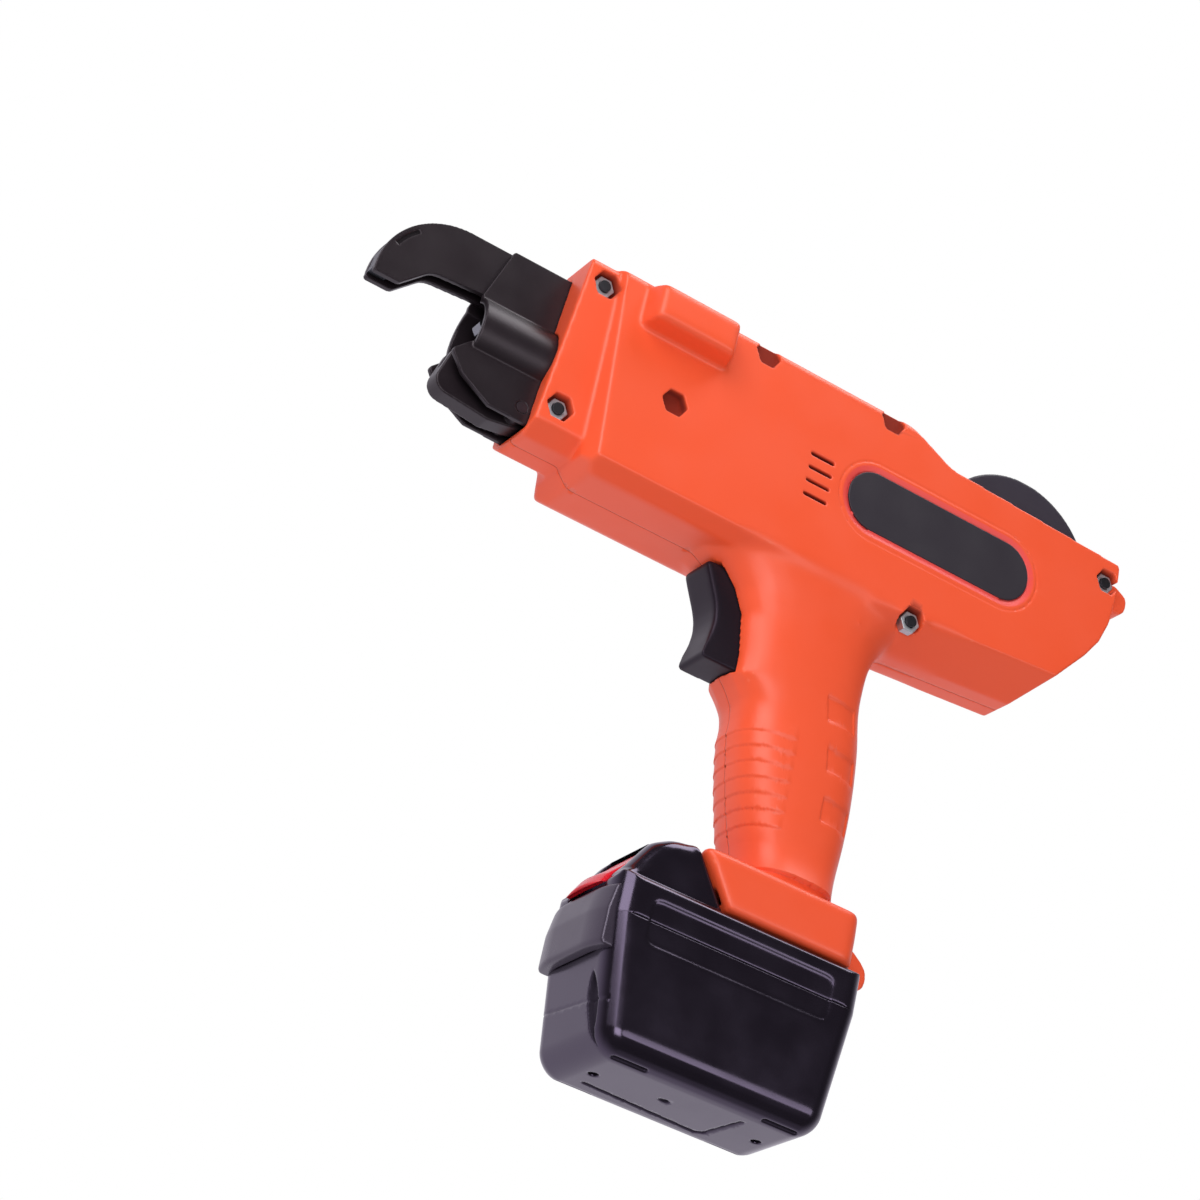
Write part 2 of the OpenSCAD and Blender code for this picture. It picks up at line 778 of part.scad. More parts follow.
// Thick spot of the wall behind the deepest open socket
module socket_boss() {
  deep = half_w - socket_depths[0];
  difference() {
    bar_y(axis_socket, -inner_w - over, -deep + socket_floor, hex_r + sheet);
    hex_y(axis_socket, -span, -deep, hex_r);
  }
}

module housing_left() {
  color(orange) {
    difference() {
      union() {
        one_side(-1) body_form();
        grip_form(-1);
        one_side(-1) foot_form();
        side_block();
      }
      shared_cuts();
      for (at = bolts) hex_y(at, -span, -pocket_y(at) + hex_depth, hex_r);
      for (k = [0:2]) hex_y(sockets[k], -span, -half_w + socket_depths[k], hex_r);
      along_y(-half_w - over, -half_w + label_t) label_spot() stadium(label_l, label_r + seat_gap);
      along_y(-half_w - over, -half_w + ring_t) label_spot() difference() {
        stadium(label_l, label_r + ring_gap + ring_w);
        stadium(label_l, label_r + ring_gap);
      }
    }
    one_side(-1) stands(-1);
    axle_boss(-1);
    socket_boss();
  }
}

// Half width of the housing at a bolt
function pocket_y(at) = at[0] < -ramp_reach ? collar_at(at[1]) : half_w;

module housing_right() {
  color(orange) {
    difference() {
      union() {
        one_side(1) body_form();
        grip_form(1);
        one_side(1) foot_form();
      }
      shared_cuts();
      for (at = bolts) bar_y(at, pocket_y(at) - head_t, span, head_r + slide_gap);
    }
    one_side(1) stands(1);
    axle_boss(1);
  }
}

module label_plate() {
  color(black) along_y(-half_w, -half_w + label_t) label_spot() stadium(label_l, label_r);
}

module housing_bolts() {
  color(dark_steel) for (at = bolts) {
    bar_y(at, -pocket_y(at) + hex_depth - nut_t - bolt_end, pocket_y(at) - head_t, bolt_r);
    difference() {
      bar_y(at, pocket_y(at) - head_t, pocket_y(at), head_r);
      hex_y(at, pocket_y(at) - head_t / 2, pocket_y(at) + over, bolt_r);
    }
  }
}

module housing_nuts() {
  color(steel) for (at = bolts) difference() {
    hex_y(at, -pocket_y(at) + hex_depth - nut_t, -pocket_y(at) + hex_depth, nut_r);
    bar_y(at, -span, span, bolt_r + run_fit);
  }
}

// Half barrel with a flat plate above and a skirt below
module nose_cover(side) {
  difference() {
    one_side(side) union() {
      bar_x(-mouth_reach, -cover_rear, 0, barrel_r);
      along_y(-cover_y, cover_y) outline([[-cover_rear, axis_h, 0], [-mouth_reach, axis_h, 0],
        [-mouth_reach, axis_h + barrel_r, edge_r], [-mouth_reach + barrel_r / 2, axis_h + cover_rise,
          edge_r],
        [-cover_notch, axis_h + cover_rise, 0], [-cover_notch, axis_h + notch_rise, 0],
        [-cover_rear, axis_h + notch_rise, 0]]);
      along_y(-skirt_y, skirt_y) outline([[-cover_rear, axis_h - barrel_r / 2, 0],
        [-mouth_reach, axis_h - barrel_r / 2, 0], [-mouth_reach - barrel_r / 2, axis_h - barrel_r, edge_r],
        [-mouth_reach - sheet / 2, axis_h - barrel_r - sheet * 3.5, edge_r],
        [-mouth_reach + barrel_r * 0.8, axis_h - chin_drop + wall + sheet / 4, edge_r],
        [-cover_rear, axis_h - chin_drop + wall + seat_gap, 0]]);
    }
    bar_x(-mouth_reach - over, -cover_rear + over, 0, bore_r);
    block(-span, 0, -plate_y, plate_y, axis_h, axis_h + span);
    difference() {
      block(-span, 0, -skirt_y + sheet, skirt_y - sheet, axis_h - span / 2, axis_h);
      bar_x(-mouth_reach, -cover_rear, 0, barrel_r);
    }
    bar_y(chin_bolt, -span, span, bolt_r + seat_gap);
    bar_y([jaw_pin_x, -jaw_pin_drop], -span, span, jaw_pin_r + run_fit);
    along_y(-plate_y, plate_y) jaw_window();
  }
}

// Gap in the barrel's underside ahead of the jaw
module jaw_window() {
  panel(-mouth_reach - over, -mouth_reach + sheet, axis_h - barrel_r - over, axis_h, 0);
}

module nose_cover_left() {
  color(black) nose_cover(-1);
}

module nose_cover_right() {
  color(black) nose_cover(1);
}

// Side outline of the upper curl arm
module arm_side() {
  outline([[-cover_notch, axis_h + arm_rise, edge_r], [-arm_reach, axis_h + arm_rise, curl_r],
    [-arm_reach, axis_h + tip_rise, edge_r / 2], [-arm_reach + tip_l, axis_h + tip_rise, edge_r],
    [-arm_reach + knee_l, axis_h + knee_rise, curl_r / 4], [-mouth_reach, axis_h + arm_low, edge_r],
    [-cover_notch, axis_h + arm_low, edge_r]]);
}

module curl_plate_left() {
  color(black) along_y(-plate_y, -plate_y + sheet) arm_side();
}

module curl_plate_right() {
  color(black) along_y(plate_y - sheet, plate_y) arm_side();
}

// Crescent between the plates, whose inner edge curls the wire
module curl_insert() {
  color(dark_steel) along_y(-channel_w / 2, channel_w / 2) difference() {
    arm_side();
    translate([groove_x, axis_h]) circle(r = groove_r + wire_bore);
    translate([groove_x, axis_h]) square([span, wire_rise + wire_bore]);
    translate([groove_x - span, axis_h - span]) square([span, span + tip_rise + edge_r]);
  }
}

// Jaw that catches the wire under the nose
module lower_jaw() {
  top = axis_h - barrel_r - slide_gap;
  low = axis_h - chin_drop + slide_gap * 5;
  rear = jaw_pin_x + jaw_boss_r;
  color(black) difference() {
    union() {
      along_y(-jaw_t / 2, jaw_t / 2) outline([[-jaw_reach, low + jaw_t / 3, jaw_t * 0.7],
        [-mouth_reach - jaw_boss_r, top + jaw_boss_r, edge_r], [-mouth_reach - slide_gap * 2,
          top + jaw_boss_r, edge_r],
        [-mouth_reach - slide_gap * 2, top, 0], [jaw_pin_x, top, edge_r],
        [rear, axis_h - jaw_pin_drop + sheet, edge_r], [rear, low + sheet, edge_r],
        [jaw_pin_x - jaw_boss_r * 2, low, edge_r]]);
      bar_y([jaw_pin_x, -jaw_pin_drop], -skirt_y + sheet + slide_gap, skirt_y - sheet - slide_gap,
        jaw_boss_r);
    }
    bar_y([jaw_pin_x, -jaw_pin_drop], -span, span, jaw_pin_r + run_fit);
    along_y(-wire_bore, wire_bore) translate([-mouth_reach, axis_h]) circle(r = barrel_r + jaw_boss_r);
  }
}

module jaw_pin() {
  color(steel) bar_y([jaw_pin_x, -jaw_pin_drop], -skirt_y, skirt_y, jaw_pin_r);
}

// Shaft and head with two claws that grip the wire
module twist_hook() {
  color(steel) {
    bar_x(-hook_neck, -gearbox_front + plate_t, 0, shaft_r);
    bar_x(-hook_neck - hook_disc, -hook_neck, 0, hook_r * 0.85);
    for (turn = [0, 180]) translate([0, 0, axis_h]) rotate([turn, 0, 0]) along_y(-hook_t / 2, hook_t / 2)
      outline([[-hook_neck - hook_disc / 2, shaft_r / 2, 0], [-hook_neck - hook_disc / 2, hook_r * 0.8, 0],
        [-hook_front + shaft_r, hook_r * 0.92, shaft_r / 2], [-hook_front, shaft_r, shaft_r / 4],
        [-hook_front + shaft_r / 2, shaft_r / 3, shaft_r / 5], [-hook_front + shaft_r, shaft_r,
          shaft_r / 4],
        [-hook_neck - hook_disc - shaft_r / 2, shaft_r * 0.9, shaft_r / 4]]);
  }
}

module hook_bush() {
  color(brass) difference() {
    bar_x(-plate_front, -gearbox_front, 0, bush_r);
    bar_x(-span, 0, 0, shaft_r + run_fit);
  }
}

// Bulkhead that carries the gearbox, the hook's bush and the wire tube
module gearbox_plate() {
  color(steel) difference() {
    along_x(-plate_front, -gearbox_front) section(inner_w - seat_gap, axis_h - chin_drop + sheet / 2,
      axis_h + deck_rise - wall - seat_gap, edge_r, edge_r);
    bar_x(-span, 0, 0, bush_r + run_fit);
    bar_x(-span, 0, wire_rise, tube_r + run_fit);
  }
}

module twist_gearbox() {
  color(dark_steel) difference() {
    union() {
      bar_x(-gearbox_front, -gearbox_front + gearbox_l, 0, gearbox_r);
      bar_x(-gearbox_front, -gearbox_front + plate_t, 0, gearbox_r + sheet);
      bar_x(-gearbox_front + gearbox_l - plate_t, -gearbox_front + gearbox_l, 0, gearbox_r + sheet / 2);
    }
    bar_x(-span, -gearbox_front + plate_t + slide_gap, 0, shaft_r + run_fit);
  }
}

// Can, end cap, rear boss and the two solder tags
module twist_motor() {
  back = motor_back;
  color(steel) {
    bar_x(back - motor_l, back, 0, motor_r);
    bar_x(back, back + shaft_r / 2, 0, shaft_r);
    for (side = [-1, 1]) translate([0, side * motor_r / 2, 0]) bar_x(back, back + shaft_r, 0, wire_bore);
  }
}

// Die with a cross bore for the rotary cutter
module cutter_block() {
  color(dark_steel) difference() {
    block(-cutter_rear - cutter_l, -cutter_rear, -cutter_y, cutter_y, axis_h + wire_rise - cutter_drop,
      axis_h + wire_rise + cutter_up);
    bar_x(-span, 0, wire_rise, wire_bore);
    bar_y([cutter_x, wire_rise - cutter_drop / 5], -span, span, cutter_r / 2 + run_fit);
  }
}

// Turning pin that shears the wire
module rotary_cutter() {
  color(steel) difference() {
    bar_y([cutter_x, wire_rise - cutter_drop / 5], -cutter_y, cutter_y, cutter_r / 2);
    bar_x(-span, 0, wire_rise, wire_bore / 2);
  }
}

module wire_tube() {
  color(brass) difference() {
    bar_x(-plate_front, feed_x - gear_r, wire_rise, tube_r);
    bar_x(-span, span, wire_rise, wire_bore);
  }
}

module inlet_tube() {
  color(brass) difference() {
    bar_x(feed_x + gear_r, rim_start, wire_rise, tube_r);
    bar_x(-span, span, wire_rise, wire_bore);
  }
}

// Plate across the housing with the idler's post
module feed_bracket() {
  high = axis_h + bracket_rise;
  color(steel) difference() {
    union() {
      block(feed_x - bracket_l / 2, feed_x + bracket_l / 2, -inner_w + seat_gap, inner_w - seat_gap,
        high - bracket_t,
        high);
      translate([feed_x, -gear_r, high]) cylinder(h = hub_t + gear_t + slide_gap, r = post_r);
    }
    translate([feed_x, gear_r, high - bracket_t - over]) cylinder(h = bracket_t + 2 * over,
      r = post_r + run_fit);
  }
}

module feed_motor() {
  high = axis_h + bracket_rise - bracket_t;
  color(steel) {
    translate([feed_x, gear_r, high - feed_motor_l]) cylinder(h = feed_motor_l, r = feed_motor_r);
    translate([feed_x, gear_r, high - feed_motor_l - post_r]) cylinder(h = post_r, r = hub_r);
  }
}

// One flank point of an involute tooth: its radius and its angle off the tooth's middle
function flank(k, n) =
  let (base = gear_r * cos(pressure), tip = gear_r + gear_module * gear_addendum,
    most = sqrt(pow(tip / base, 2) - 1) * 180 / PI, t = most * k / n,
    lead = tan(pressure) * 180 / PI - pressure, half = 90 / gear_teeth - backlash)
  [base * sqrt(1 + pow(t * PI / 180, 2)), half + lead - (t - atan(t * PI / 180))];
flank_steps = 4;
function tooth(turn) = let (root = gear_r - gear_module * gear_dedendum) concat(
  [polar(root, turn - flank(0, flank_steps)[1])],
  [for (k = [0:flank_steps]) polar(flank(k, flank_steps)[0], turn - flank(k, flank_steps)[1])],
  [for (k = [flank_steps:-1:0]) polar(flank(k, flank_steps)[0], turn + flank(k, flank_steps)[1])],
  [polar(root, turn + flank(0, flank_steps)[1])]);
function polar(r, a) = r * [cos(a), sin(a)];

// Toothed feed wheel with a groove for the wire round its middle
module feed_wheel(turn) {
  difference() {
    union() {
      translate([0, 0, -gear_t / 2]) linear_extrude(gear_t)
        polygon([for (k = [0:gear_teeth - 1]) each tooth(turn + 360 * k / gear_teeth)]);
      translate([0, 0, -gear_t / 2 - hub_t]) cylinder(h = hub_t, r = hub_r);
    }
    rotate_extrude() polygon([[gear_r - wire_bore, 0], [gear_r + over * 2, -wire_bore - over],
      [gear_r + over * 2, wire_bore + over]]);
  }
}

module feed_drive_gear() {
  color(dark_steel) translate([feed_x, gear_r, axis_h + wire_rise]) {
    feed_wheel(0);
    translate([0, 0, -gear_t / 2 - hub_t - bracket_t + slide_gap / 4 - hub_gap])
      cylinder(h = bracket_t + hub_t - slide_gap / 4 + hub_gap, r = post_r);
  }
}

module feed_idler_gear() {
  color(dark_steel) translate([feed_x, -gear_r, axis_h + wire_rise]) difference() {
    feed_wheel(gear_teeth % 2 == 0 ? 180 / gear_teeth : 0);
    translate([0, 0, -gear_t - hub_t]) cylinder(h = 2 * (gear_t + hub_t), r = post_r + run_fit);
  }
}

// Two flanges on a hollow core
module wire_reel() {
  color(black) difference() {
    union() {
      bar_y([reel_x, reel_rise], -reel_w / 2, -reel_w / 2 + flange_t, reel_r);
      bar_y([reel_x, reel_rise], reel_w / 2 - flange_t, reel_w / 2, reel_r);
      bar_y([reel_x, reel_rise], -reel_w / 2, reel_w / 2, hub_core_r);
    }
    bar_y([reel_x, reel_rise], -span, span, axle_r + run_fit);
    for (k = [0:5]) translate([reel_x, 0, axis_h + reel_rise]) rotate([0, 60 * k, 0])
      translate([hub_core_r - wall * 1.5, 0, 0]) rotate([90, 0, 0])
        cylinder(h = span, r = wall / 1.5, center = true);
  }
}

// Outer layer of wire wound over a plain core, its ends turned into the flanges
wind_room = reel_w - 2 * flange_t - 4 * wire_d;
wind_pitch = wind_room / wind_loops;
wind_rings = 24;
wind_path = let (turns = coil(wind_r - wire_d / 2, wind_pitch, wind_loops, wind_rings),
  last = len(turns) - 1,
    drop = [0, 0, wire_d])
  concat([[turns[0][0] - 1.6 * drop, turns[0][1], [0, -1, 0]], [turns[0][0] - 0.6 * drop, turns[0][1], [0,
    -1, 0]]],
    [for (k = [1:last - 1]) turns[k]],
    [[turns[last][0] + 0.6 * drop, turns[last][1], [0, 1, 0]],
      [turns[last][0] + 1.6 * drop, turns[last][1], [0, 1, 0]]]);
wind_gap = min([for (k = [wind_rings:len(wind_path) - 1 - wind_rings])
  norm(wind_path[k + wind_rings][0] - wind_path[k][0])]) - wire_d;
echo(least_gap_between_wire_loops = wind_gap);

module wire_winding() {
  core = (wind_r - wire_d / 2) * cos(180 / wind_rings) - wire_d / 2 - run_fit;
  color(steel) translate([reel_x, 0, axis_h + reel_rise]) rotate([90, 0, 0]) {
    difference() {
      cylinder(h = reel_w - 2 * flange_t - 2 * seat_gap, r = core, center = true);
      cylinder(h = reel_w, r = hub_core_r + run_fit, center = true);
    }
    translate([0, 0, -wind_room / 2]) sweep(wind_path, wire_d / 2);
  }
}

module reel_axle() {
  color(steel) bar_y([reel_x, reel_rise], -half_w + axle_seat, half_w - axle_seat, axle_r);
}

// Thumb lever on the rear bolt that keeps the reel in
module reel_lever() {
  at = rear_bolt;
  z = axis_h + at[1];
  color(orange) difference() {
    union() {
      bar_y(at, -lever_w / 2, lever_w / 2, lever_boss_r);
      along_y(-lever_w / 2, lever_w / 2) outline([[at[0], z + lever_boss_r, 0],
        [lever_reach - lever_t / 2, z + lever_t / 2, lever_t / 4], [lever_reach, z + lever_t / 4,
          lever_t / 4],
        [lever_reach, z - lever_t / 2, lever_t / 3], [at[0] + lever_boss_r * 2, z - lever_boss_r, edge_r],
        [at[0], z - lever_boss_r, 0]]);
    }
    bar_y(at, -span, span, bolt_r + run_fit);
  }
}

// Hollowed finger face, guide body and stem
module trigger() {
  low = trigger_low;
  high = trigger_high;
  color(black) {
    intersection() {
      along_y(-trigger_w / 2, trigger_w / 2) outline([[trigger_front, high, edge_r],
        [trigger_waist, high - waist_drop, waist_drop], [trigger_foot, low, edge_r], [trigger_back, low, 0],
        [trigger_back, high, 0]]);
      along_z(low, high) outline([[trigger_front - edge_r, -trigger_w / 2, 0], [trigger_back,
        -trigger_w / 2, 0],
        [trigger_back, trigger_w / 2, 0], [trigger_front - edge_r, trigger_w / 2, 0]]);
    }
    bar_x(trigger_back, trigger_back + stem_l, stem_h - axis_h, stem_r);
  }
}

module trigger_spring() {
  free = switch_front - trigger_back - spring_d - 2 * seat_gap;
  path = coil(spring_r, free / spring_turns, spring_turns, 8);
  color(steel) translate([trigger_back + spring_d / 2 + seat_gap, 0, stem_h]) rotate([0, 90, 0])
    sweep(path, spring_d / 2);
}

module trigger_switch() {
  color(dark_steel) difference() {
    block(switch_front, switch_front + switch_l, -switch_w / 2, switch_w / 2, switch_low,
      switch_low + switch_h);
    bar_x(switch_front - over, trigger_back + stem_l + trigger_travel + slide_gap, stem_h - axis_h,
      stem_r + run_fit);
  }
}

// Board on four stands, with its parts
module control_board() {
  low = axis_h - board_drop;
  color(green) block(board_front, board_front + board_l, -board_w / 2, board_w / 2, low, low + board_t);
  color(black) for (k = [0:3]) block(board_front + chip_l + 1.5 * chip_l * k,
    board_front + 2 * chip_l + 1.5 * chip_l * k,
    -board_w / 4, board_w / 4, low + board_t, low + board_t + chip_t);
}

module terminal_block() {
  color(black) block(block_front, block_rear, -rail_w / 2 + wall, rail_w / 2 - wall, channel_top,
    foot_top - edge_r - seat_gap);
  color(brass) for (side = [-1, 1]) block(block_front + blade_end, block_rear - blade_end,
    side * blade_y - blade_t / 2, side * blade_y + blade_t / 2, deck_h + blade_end, channel_top);
}

// Flared outline of the battery on the side view
module pack_side(g) {
  outline([[-pack_l / 2 + g, g, pack_r - g], [-pack_l / 2 - pack_flare + g, seam_h, 0],
    [pack_l / 2 + pack_flare - g, seam_h, 0], [pack_l / 2 - g, g, pack_r - g]]);
}

module battery_lower_case() {
  g = pack_wall;
  color(black) difference() {
    intersection() {
      along_y(-pack_w / 2, pack_w / 2) pack_side(0);
      along_x(-span, span) section(pack_w / 2, 0, seam_h, pack_r, 0);
      along_z(0, seam_h) panel(-pack_l / 2 - pack_flare, pack_l / 2 + pack_flare, -pack_w / 2, pack_w / 2,
        pack_corner);
    }
    block(-cell_l / 2 - g, cell_l / 2 + g, -pack_w / 2 + g, pack_w / 2 - g, pack_r, seam_h + over);
    block(-cell_l / 2 - g, cell_l / 2 + g, -pack_w / 2 + pack_r, pack_w / 2 - pack_r, pack_floor,
      seam_h + over);
    for (side = [-1, 1]) bar_x(-cell_l / 2 - g, cell_l / 2 + g, pack_floor + cell_r - axis_h, cell_r);
    for (side = [-1, 1]) translate([0, side * (cell_r + cell_gap / 2), 0])
      bar_x(-cell_l / 2 - g, cell_l / 2 + g, pack_floor + cell_r - axis_h, cell_r + cell_gap / 2);
    panel_recess();
    for (x = [-1, 1]) for (y = [-1, 1])
      along_z(-over, foot_slot_t) translate([x * (pack_l / 2 - foot_slot_l),
        y * (pack_w / 2 - pack_r * 0.7)])
        hull_free(foot_slot_l - foot_slot_w, foot_slot_w / 2);
    for (x = [-1, 1]) translate([x * screw_x, 0, -over]) cylinder(h = pack_floor + 2 * over,
      r = screw_r + seat_gap);
  }
}

// Shallow panel sunk in both sides of the battery
module panel_recess() {
  for (side = [-1, 1]) along_y(side * pack_w / 2 - recess_t, side * pack_w / 2 + recess_t)
    panel(-recess_l / 2, recess_l / 2, seam_h - recess_h / 2, seam_h + recess_h / 2, recess_r);
}

// Deck with the front hump and the T rails
module battery_upper_case() {
  ends = pack_l / 2 + pack_flare;
  color(black) difference() {
    union() {
      intersection() {
        along_y(-pack_w / 2, pack_w / 2) outline([[-ends, seam_h, 0], [-ends, deck_h, edge_r * 2], [ends,
          deck_h, edge_r * 2],
          [ends, seam_h, 0]]);
        along_x(-span, span) section(pack_w / 2, seam_h, deck_h, 0, edge_r * 2);
        along_z(seam_h, deck_h) panel(-ends, ends, -pack_w / 2, pack_w / 2, pack_corner);
      }
      hump_form();
      block(rail_front, rail_rear, -rail_w / 2, rail_w / 2, deck_h - over, deck_h + rail_neck + rail_t);
      block(rail_front, rail_rear, -rail_w / 2 - rail_flange, rail_w / 2 + rail_flange, deck_h + rail_neck,
        deck_h + rail_neck + rail_t);
    }
    block(-cell_l / 2 - pack_wall, cell_l / 2 + pack_wall, -pack_w / 2 + pack_wall, pack_w / 2 - pack_wall,
      seam_h - over, deck_h - pack_wall);
    panel_recess();
    for (side = [-1, 1]) block(block_front - blade_end, rail_rear + over, side * blade_y - slot_w / 2,
      side * blade_y + slot_w / 2, deck_h + blade_end / 2, channel_top);
    button_room();
    block(latch_x - slide_gap, latch_x + latch_l + slide_gap, -latch_w / 2 - slide_gap,
      latch_w / 2 + slide_gap,
      deck_h - pack_wall - over, channel_top + over);
  }
}

module hump_form() {
  back = foot_front - hump_gap;
  rise = hump_top - deck_h;
  intersection() {
    along_y(-hump_w / 2, hump_w / 2) outline([[hump_front, deck_h - edge_r, 0], [hump_front, deck_h,
      edge_r],
      [hump_crest, hump_top, foot_r * 2], [back - foot_lean * rise / (foot_top - foot_low), hump_top,
        edge_r],
      [back, deck_h, 0], [back, deck_h - edge_r, 0]]);
    along_x(-span, span) section(hump_w / 2, 0, hump_top, 0, foot_r);
  }
}

// Side outline of the release button, shifted and widened by g
module button_side(g) {
  slope_x = hump_crest - hump_front;
  slope_z = hump_top - deck_h;
  outline([[hump_front - button_t + edge_r * 2 - g, deck_h - edge_r * 2 - g, edge_r / 3],
    [hump_front - edge_r - g, deck_h - edge_r * 2 - g, 0],
    [hump_front + slope_x * 0.8 + g, hump_top - slope_z * 0.35 - button_t / 2, 0],
    [hump_front + slope_x * 0.8 + g, hump_top - slope_z * 0.12 + g, edge_r],
    [hump_front + slope_x * 0.45 - g, hump_top - slope_z * 0.3 + g, edge_r]]);
}

module button_room() {
  g = slide_gap;
  along_y(-button_w / 2 - g, button_w / 2 + g) {
    button_side(g);
    translate([press_travel, 0]) button_side(g);
    translate([press_travel / 2, 0]) button_side(g);
  }
}

module release_button() {
  color(red) along_y(-button_w / 2, button_w / 2) button_side(0);
}

// Hook that rises through the deck into the foot
module release_latch() {
  top = channel_top + latch_rise - slide_gap;
  low = deck_h - pack_wall - slide_gap;
  color(dark_steel) {
    along_y(-latch_w / 2, latch_w / 2) outline([[latch_x, low, 0], [latch_x, top - latch_rise, 0],
      [latch_x + latch_l / 3, top, edge_r / 2], [latch_x + latch_l, top, edge_r / 2], [latch_x + latch_l,
        low, 0]]);
    block(latch_x - latch_l / 2, latch_x + latch_l * 1.5, -latch_w / 2, latch_w / 2, low - sheet, low);
  }
}

module latch_spring() {
  top = deck_h - pack_wall - slide_gap - sheet - spring_d / 2 - seat_gap;
  low = latch_low();
  path = coil(latch_spring_r, (top - low) / latch_turns, latch_turns, 8);
  color(steel) translate([latch_x + latch_l / 2, 0, low]) sweep(path, spring_d / 2);
}

// Top of that board, where the latch spring stands
function latch_low() = cells_top + seat_gap + board_t + spring_d / 2 + seat_gap;

// Board over the cells that evens out their charge
module battery_board() {
  color(green) block(-cell_l / 2, cell_l / 2, -board_w / 2, board_w / 2, cells_top + seat_gap,
    cells_top + seat_gap + board_t);
}

module battery_front_panel() {
  x = -pack_l / 2 - pack_flare;
  lean = pack_flare / seam_h;
  color(grey) along_y(-panel_w / 2, panel_w / 2) outline([
    [x - seat_gap, seam_h, 0], [x - seat_gap, panel_high, 0], [x - panel_t + edge_r, panel_high, edge_r],
    [x - panel_t, seam_h, 0], [x - panel_t + lean * (seam_h - panel_low) - edge_r, panel_low, edge_r],
    [x - seat_gap + lean * (seam_h - panel_low), panel_low, 0]]);
}

module battery_cells() {
  color(grey) for (side = [-1, 1]) for (row = [0, 1])
    translate([0, side * (cell_r + cell_gap / 2), 0]) {
      bar_x(-cell_l / 2, cell_l / 2,
        pack_floor + cell_r + cell_gap / 2 + row * (2 * cell_r + cell_gap) - axis_h, cell_r);
      bar_x(cell_l / 2, cell_l / 2 + cell_cap_t,
        pack_floor + cell_r + cell_gap / 2 + row * (2 * cell_r + cell_gap) - axis_h, cell_cap_r);
    }
}

// Pairs of clips that the terminal blades run between
module battery_contacts() {
  color(brass) for (side = [-1, 1]) for (cheek = [-1, 1])
    block(block_front, block_rear, side * blade_y + cheek * (slot_w - clip_t - seat_gap) / 2 - clip_t / 2,
      side * blade_y + cheek * (slot_w - clip_t - seat_gap) / 2 + clip_t / 2, deck_h + blade_end / 2,
        deck_h + rail_neck);
}

module battery_screws() {
  color(steel) for (x = [-1, 1]) translate([x * screw_x, 0, sheet / 2])
    cylinder(h = pack_floor - sheet / 2, r = screw_r);
}

housing_left();
housing_right();
label_plate();
housing_bolts();
housing_nuts();
nose_cover_left();
nose_cover_right();
curl_plate_left();
curl_plate_right();
curl_insert();
lower_jaw();
jaw_pin();
twist_hook();
hook_bush();
gearbox_plate();
twist_gearbox();
twist_motor();
cutter_block();
rotary_cutter();
wire_tube();
inlet_tube();
feed_bracket();
feed_motor();
feed_drive_gear();
feed_idler_gear();
wire_reel();
wire_winding();
reel_axle();
reel_lever();
trigger();
trigger_spring();
trigger_switch();
control_board();
terminal_block();
battery_lower_case();
battery_upper_case();
battery_front_panel();
battery_cells();
battery_board();
battery_contacts();
battery_screws();
release_button();
release_latch();
latch_spring();
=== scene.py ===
import bpy
import math
import numpy as np
from mathutils import Matrix, Vector


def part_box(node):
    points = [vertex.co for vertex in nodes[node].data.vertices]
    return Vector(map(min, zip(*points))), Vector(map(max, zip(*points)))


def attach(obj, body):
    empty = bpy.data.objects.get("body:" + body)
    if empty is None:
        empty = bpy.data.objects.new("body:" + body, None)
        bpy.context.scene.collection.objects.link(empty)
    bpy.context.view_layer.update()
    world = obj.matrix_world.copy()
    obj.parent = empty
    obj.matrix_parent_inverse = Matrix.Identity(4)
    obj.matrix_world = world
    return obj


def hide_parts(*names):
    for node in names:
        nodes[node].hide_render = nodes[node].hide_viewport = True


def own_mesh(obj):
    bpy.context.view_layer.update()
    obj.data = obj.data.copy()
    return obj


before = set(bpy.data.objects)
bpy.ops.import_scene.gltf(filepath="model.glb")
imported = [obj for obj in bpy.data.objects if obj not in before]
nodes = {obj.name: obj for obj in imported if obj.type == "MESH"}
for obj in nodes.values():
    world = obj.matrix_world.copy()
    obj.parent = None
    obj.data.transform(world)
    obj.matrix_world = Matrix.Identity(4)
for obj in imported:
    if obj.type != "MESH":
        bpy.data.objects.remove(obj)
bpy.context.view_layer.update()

# The stage: a pale floor under the battery, a white backdrop behind the tool, soft boxes
# in front of it, and a camera that looks up at the tool's left side.
MM = 0.001
scene = bpy.context.scene


def linear(code):
    """An sRGB hex colour as linear light."""
    shares = [int(code[i:i + 2], 16) / 255 for i in (1, 3, 5)]
    return [s / 12.92 if s <= 0.04045 else ((s + 0.055) / 1.055) ** 2.4 for s in shares] + [1.0]


def add(tree, kind, inputs=None, **settings):
    """Adds a node with its settings, values and links. A colour mix has its share at socket 0, its colours at
    6 and 7 and its result at 2. A range node takes 1 to 2 and gives 3 to 4."""
    made = tree.nodes.new(kind)
    for name, value in settings.items():
        setattr(made, name, value)
    for name, value in (inputs or {}).items():
        if isinstance(value, bpy.types.NodeSocket):
            tree.links.new(value, made.inputs[name])
        else:
            made.inputs[name].default_value = value
    return made


def new_material(name):
    """A material with an empty node tree."""
    material = bpy.data.materials.new(name)
    material.use_nodes = True
    material.node_tree.nodes.clear()
    return material, material.node_tree


def show(name, data):
    """A new object in the scene."""
    made = bpy.data.objects.new(name, data)
    scene.collection.objects.link(made)
    return made


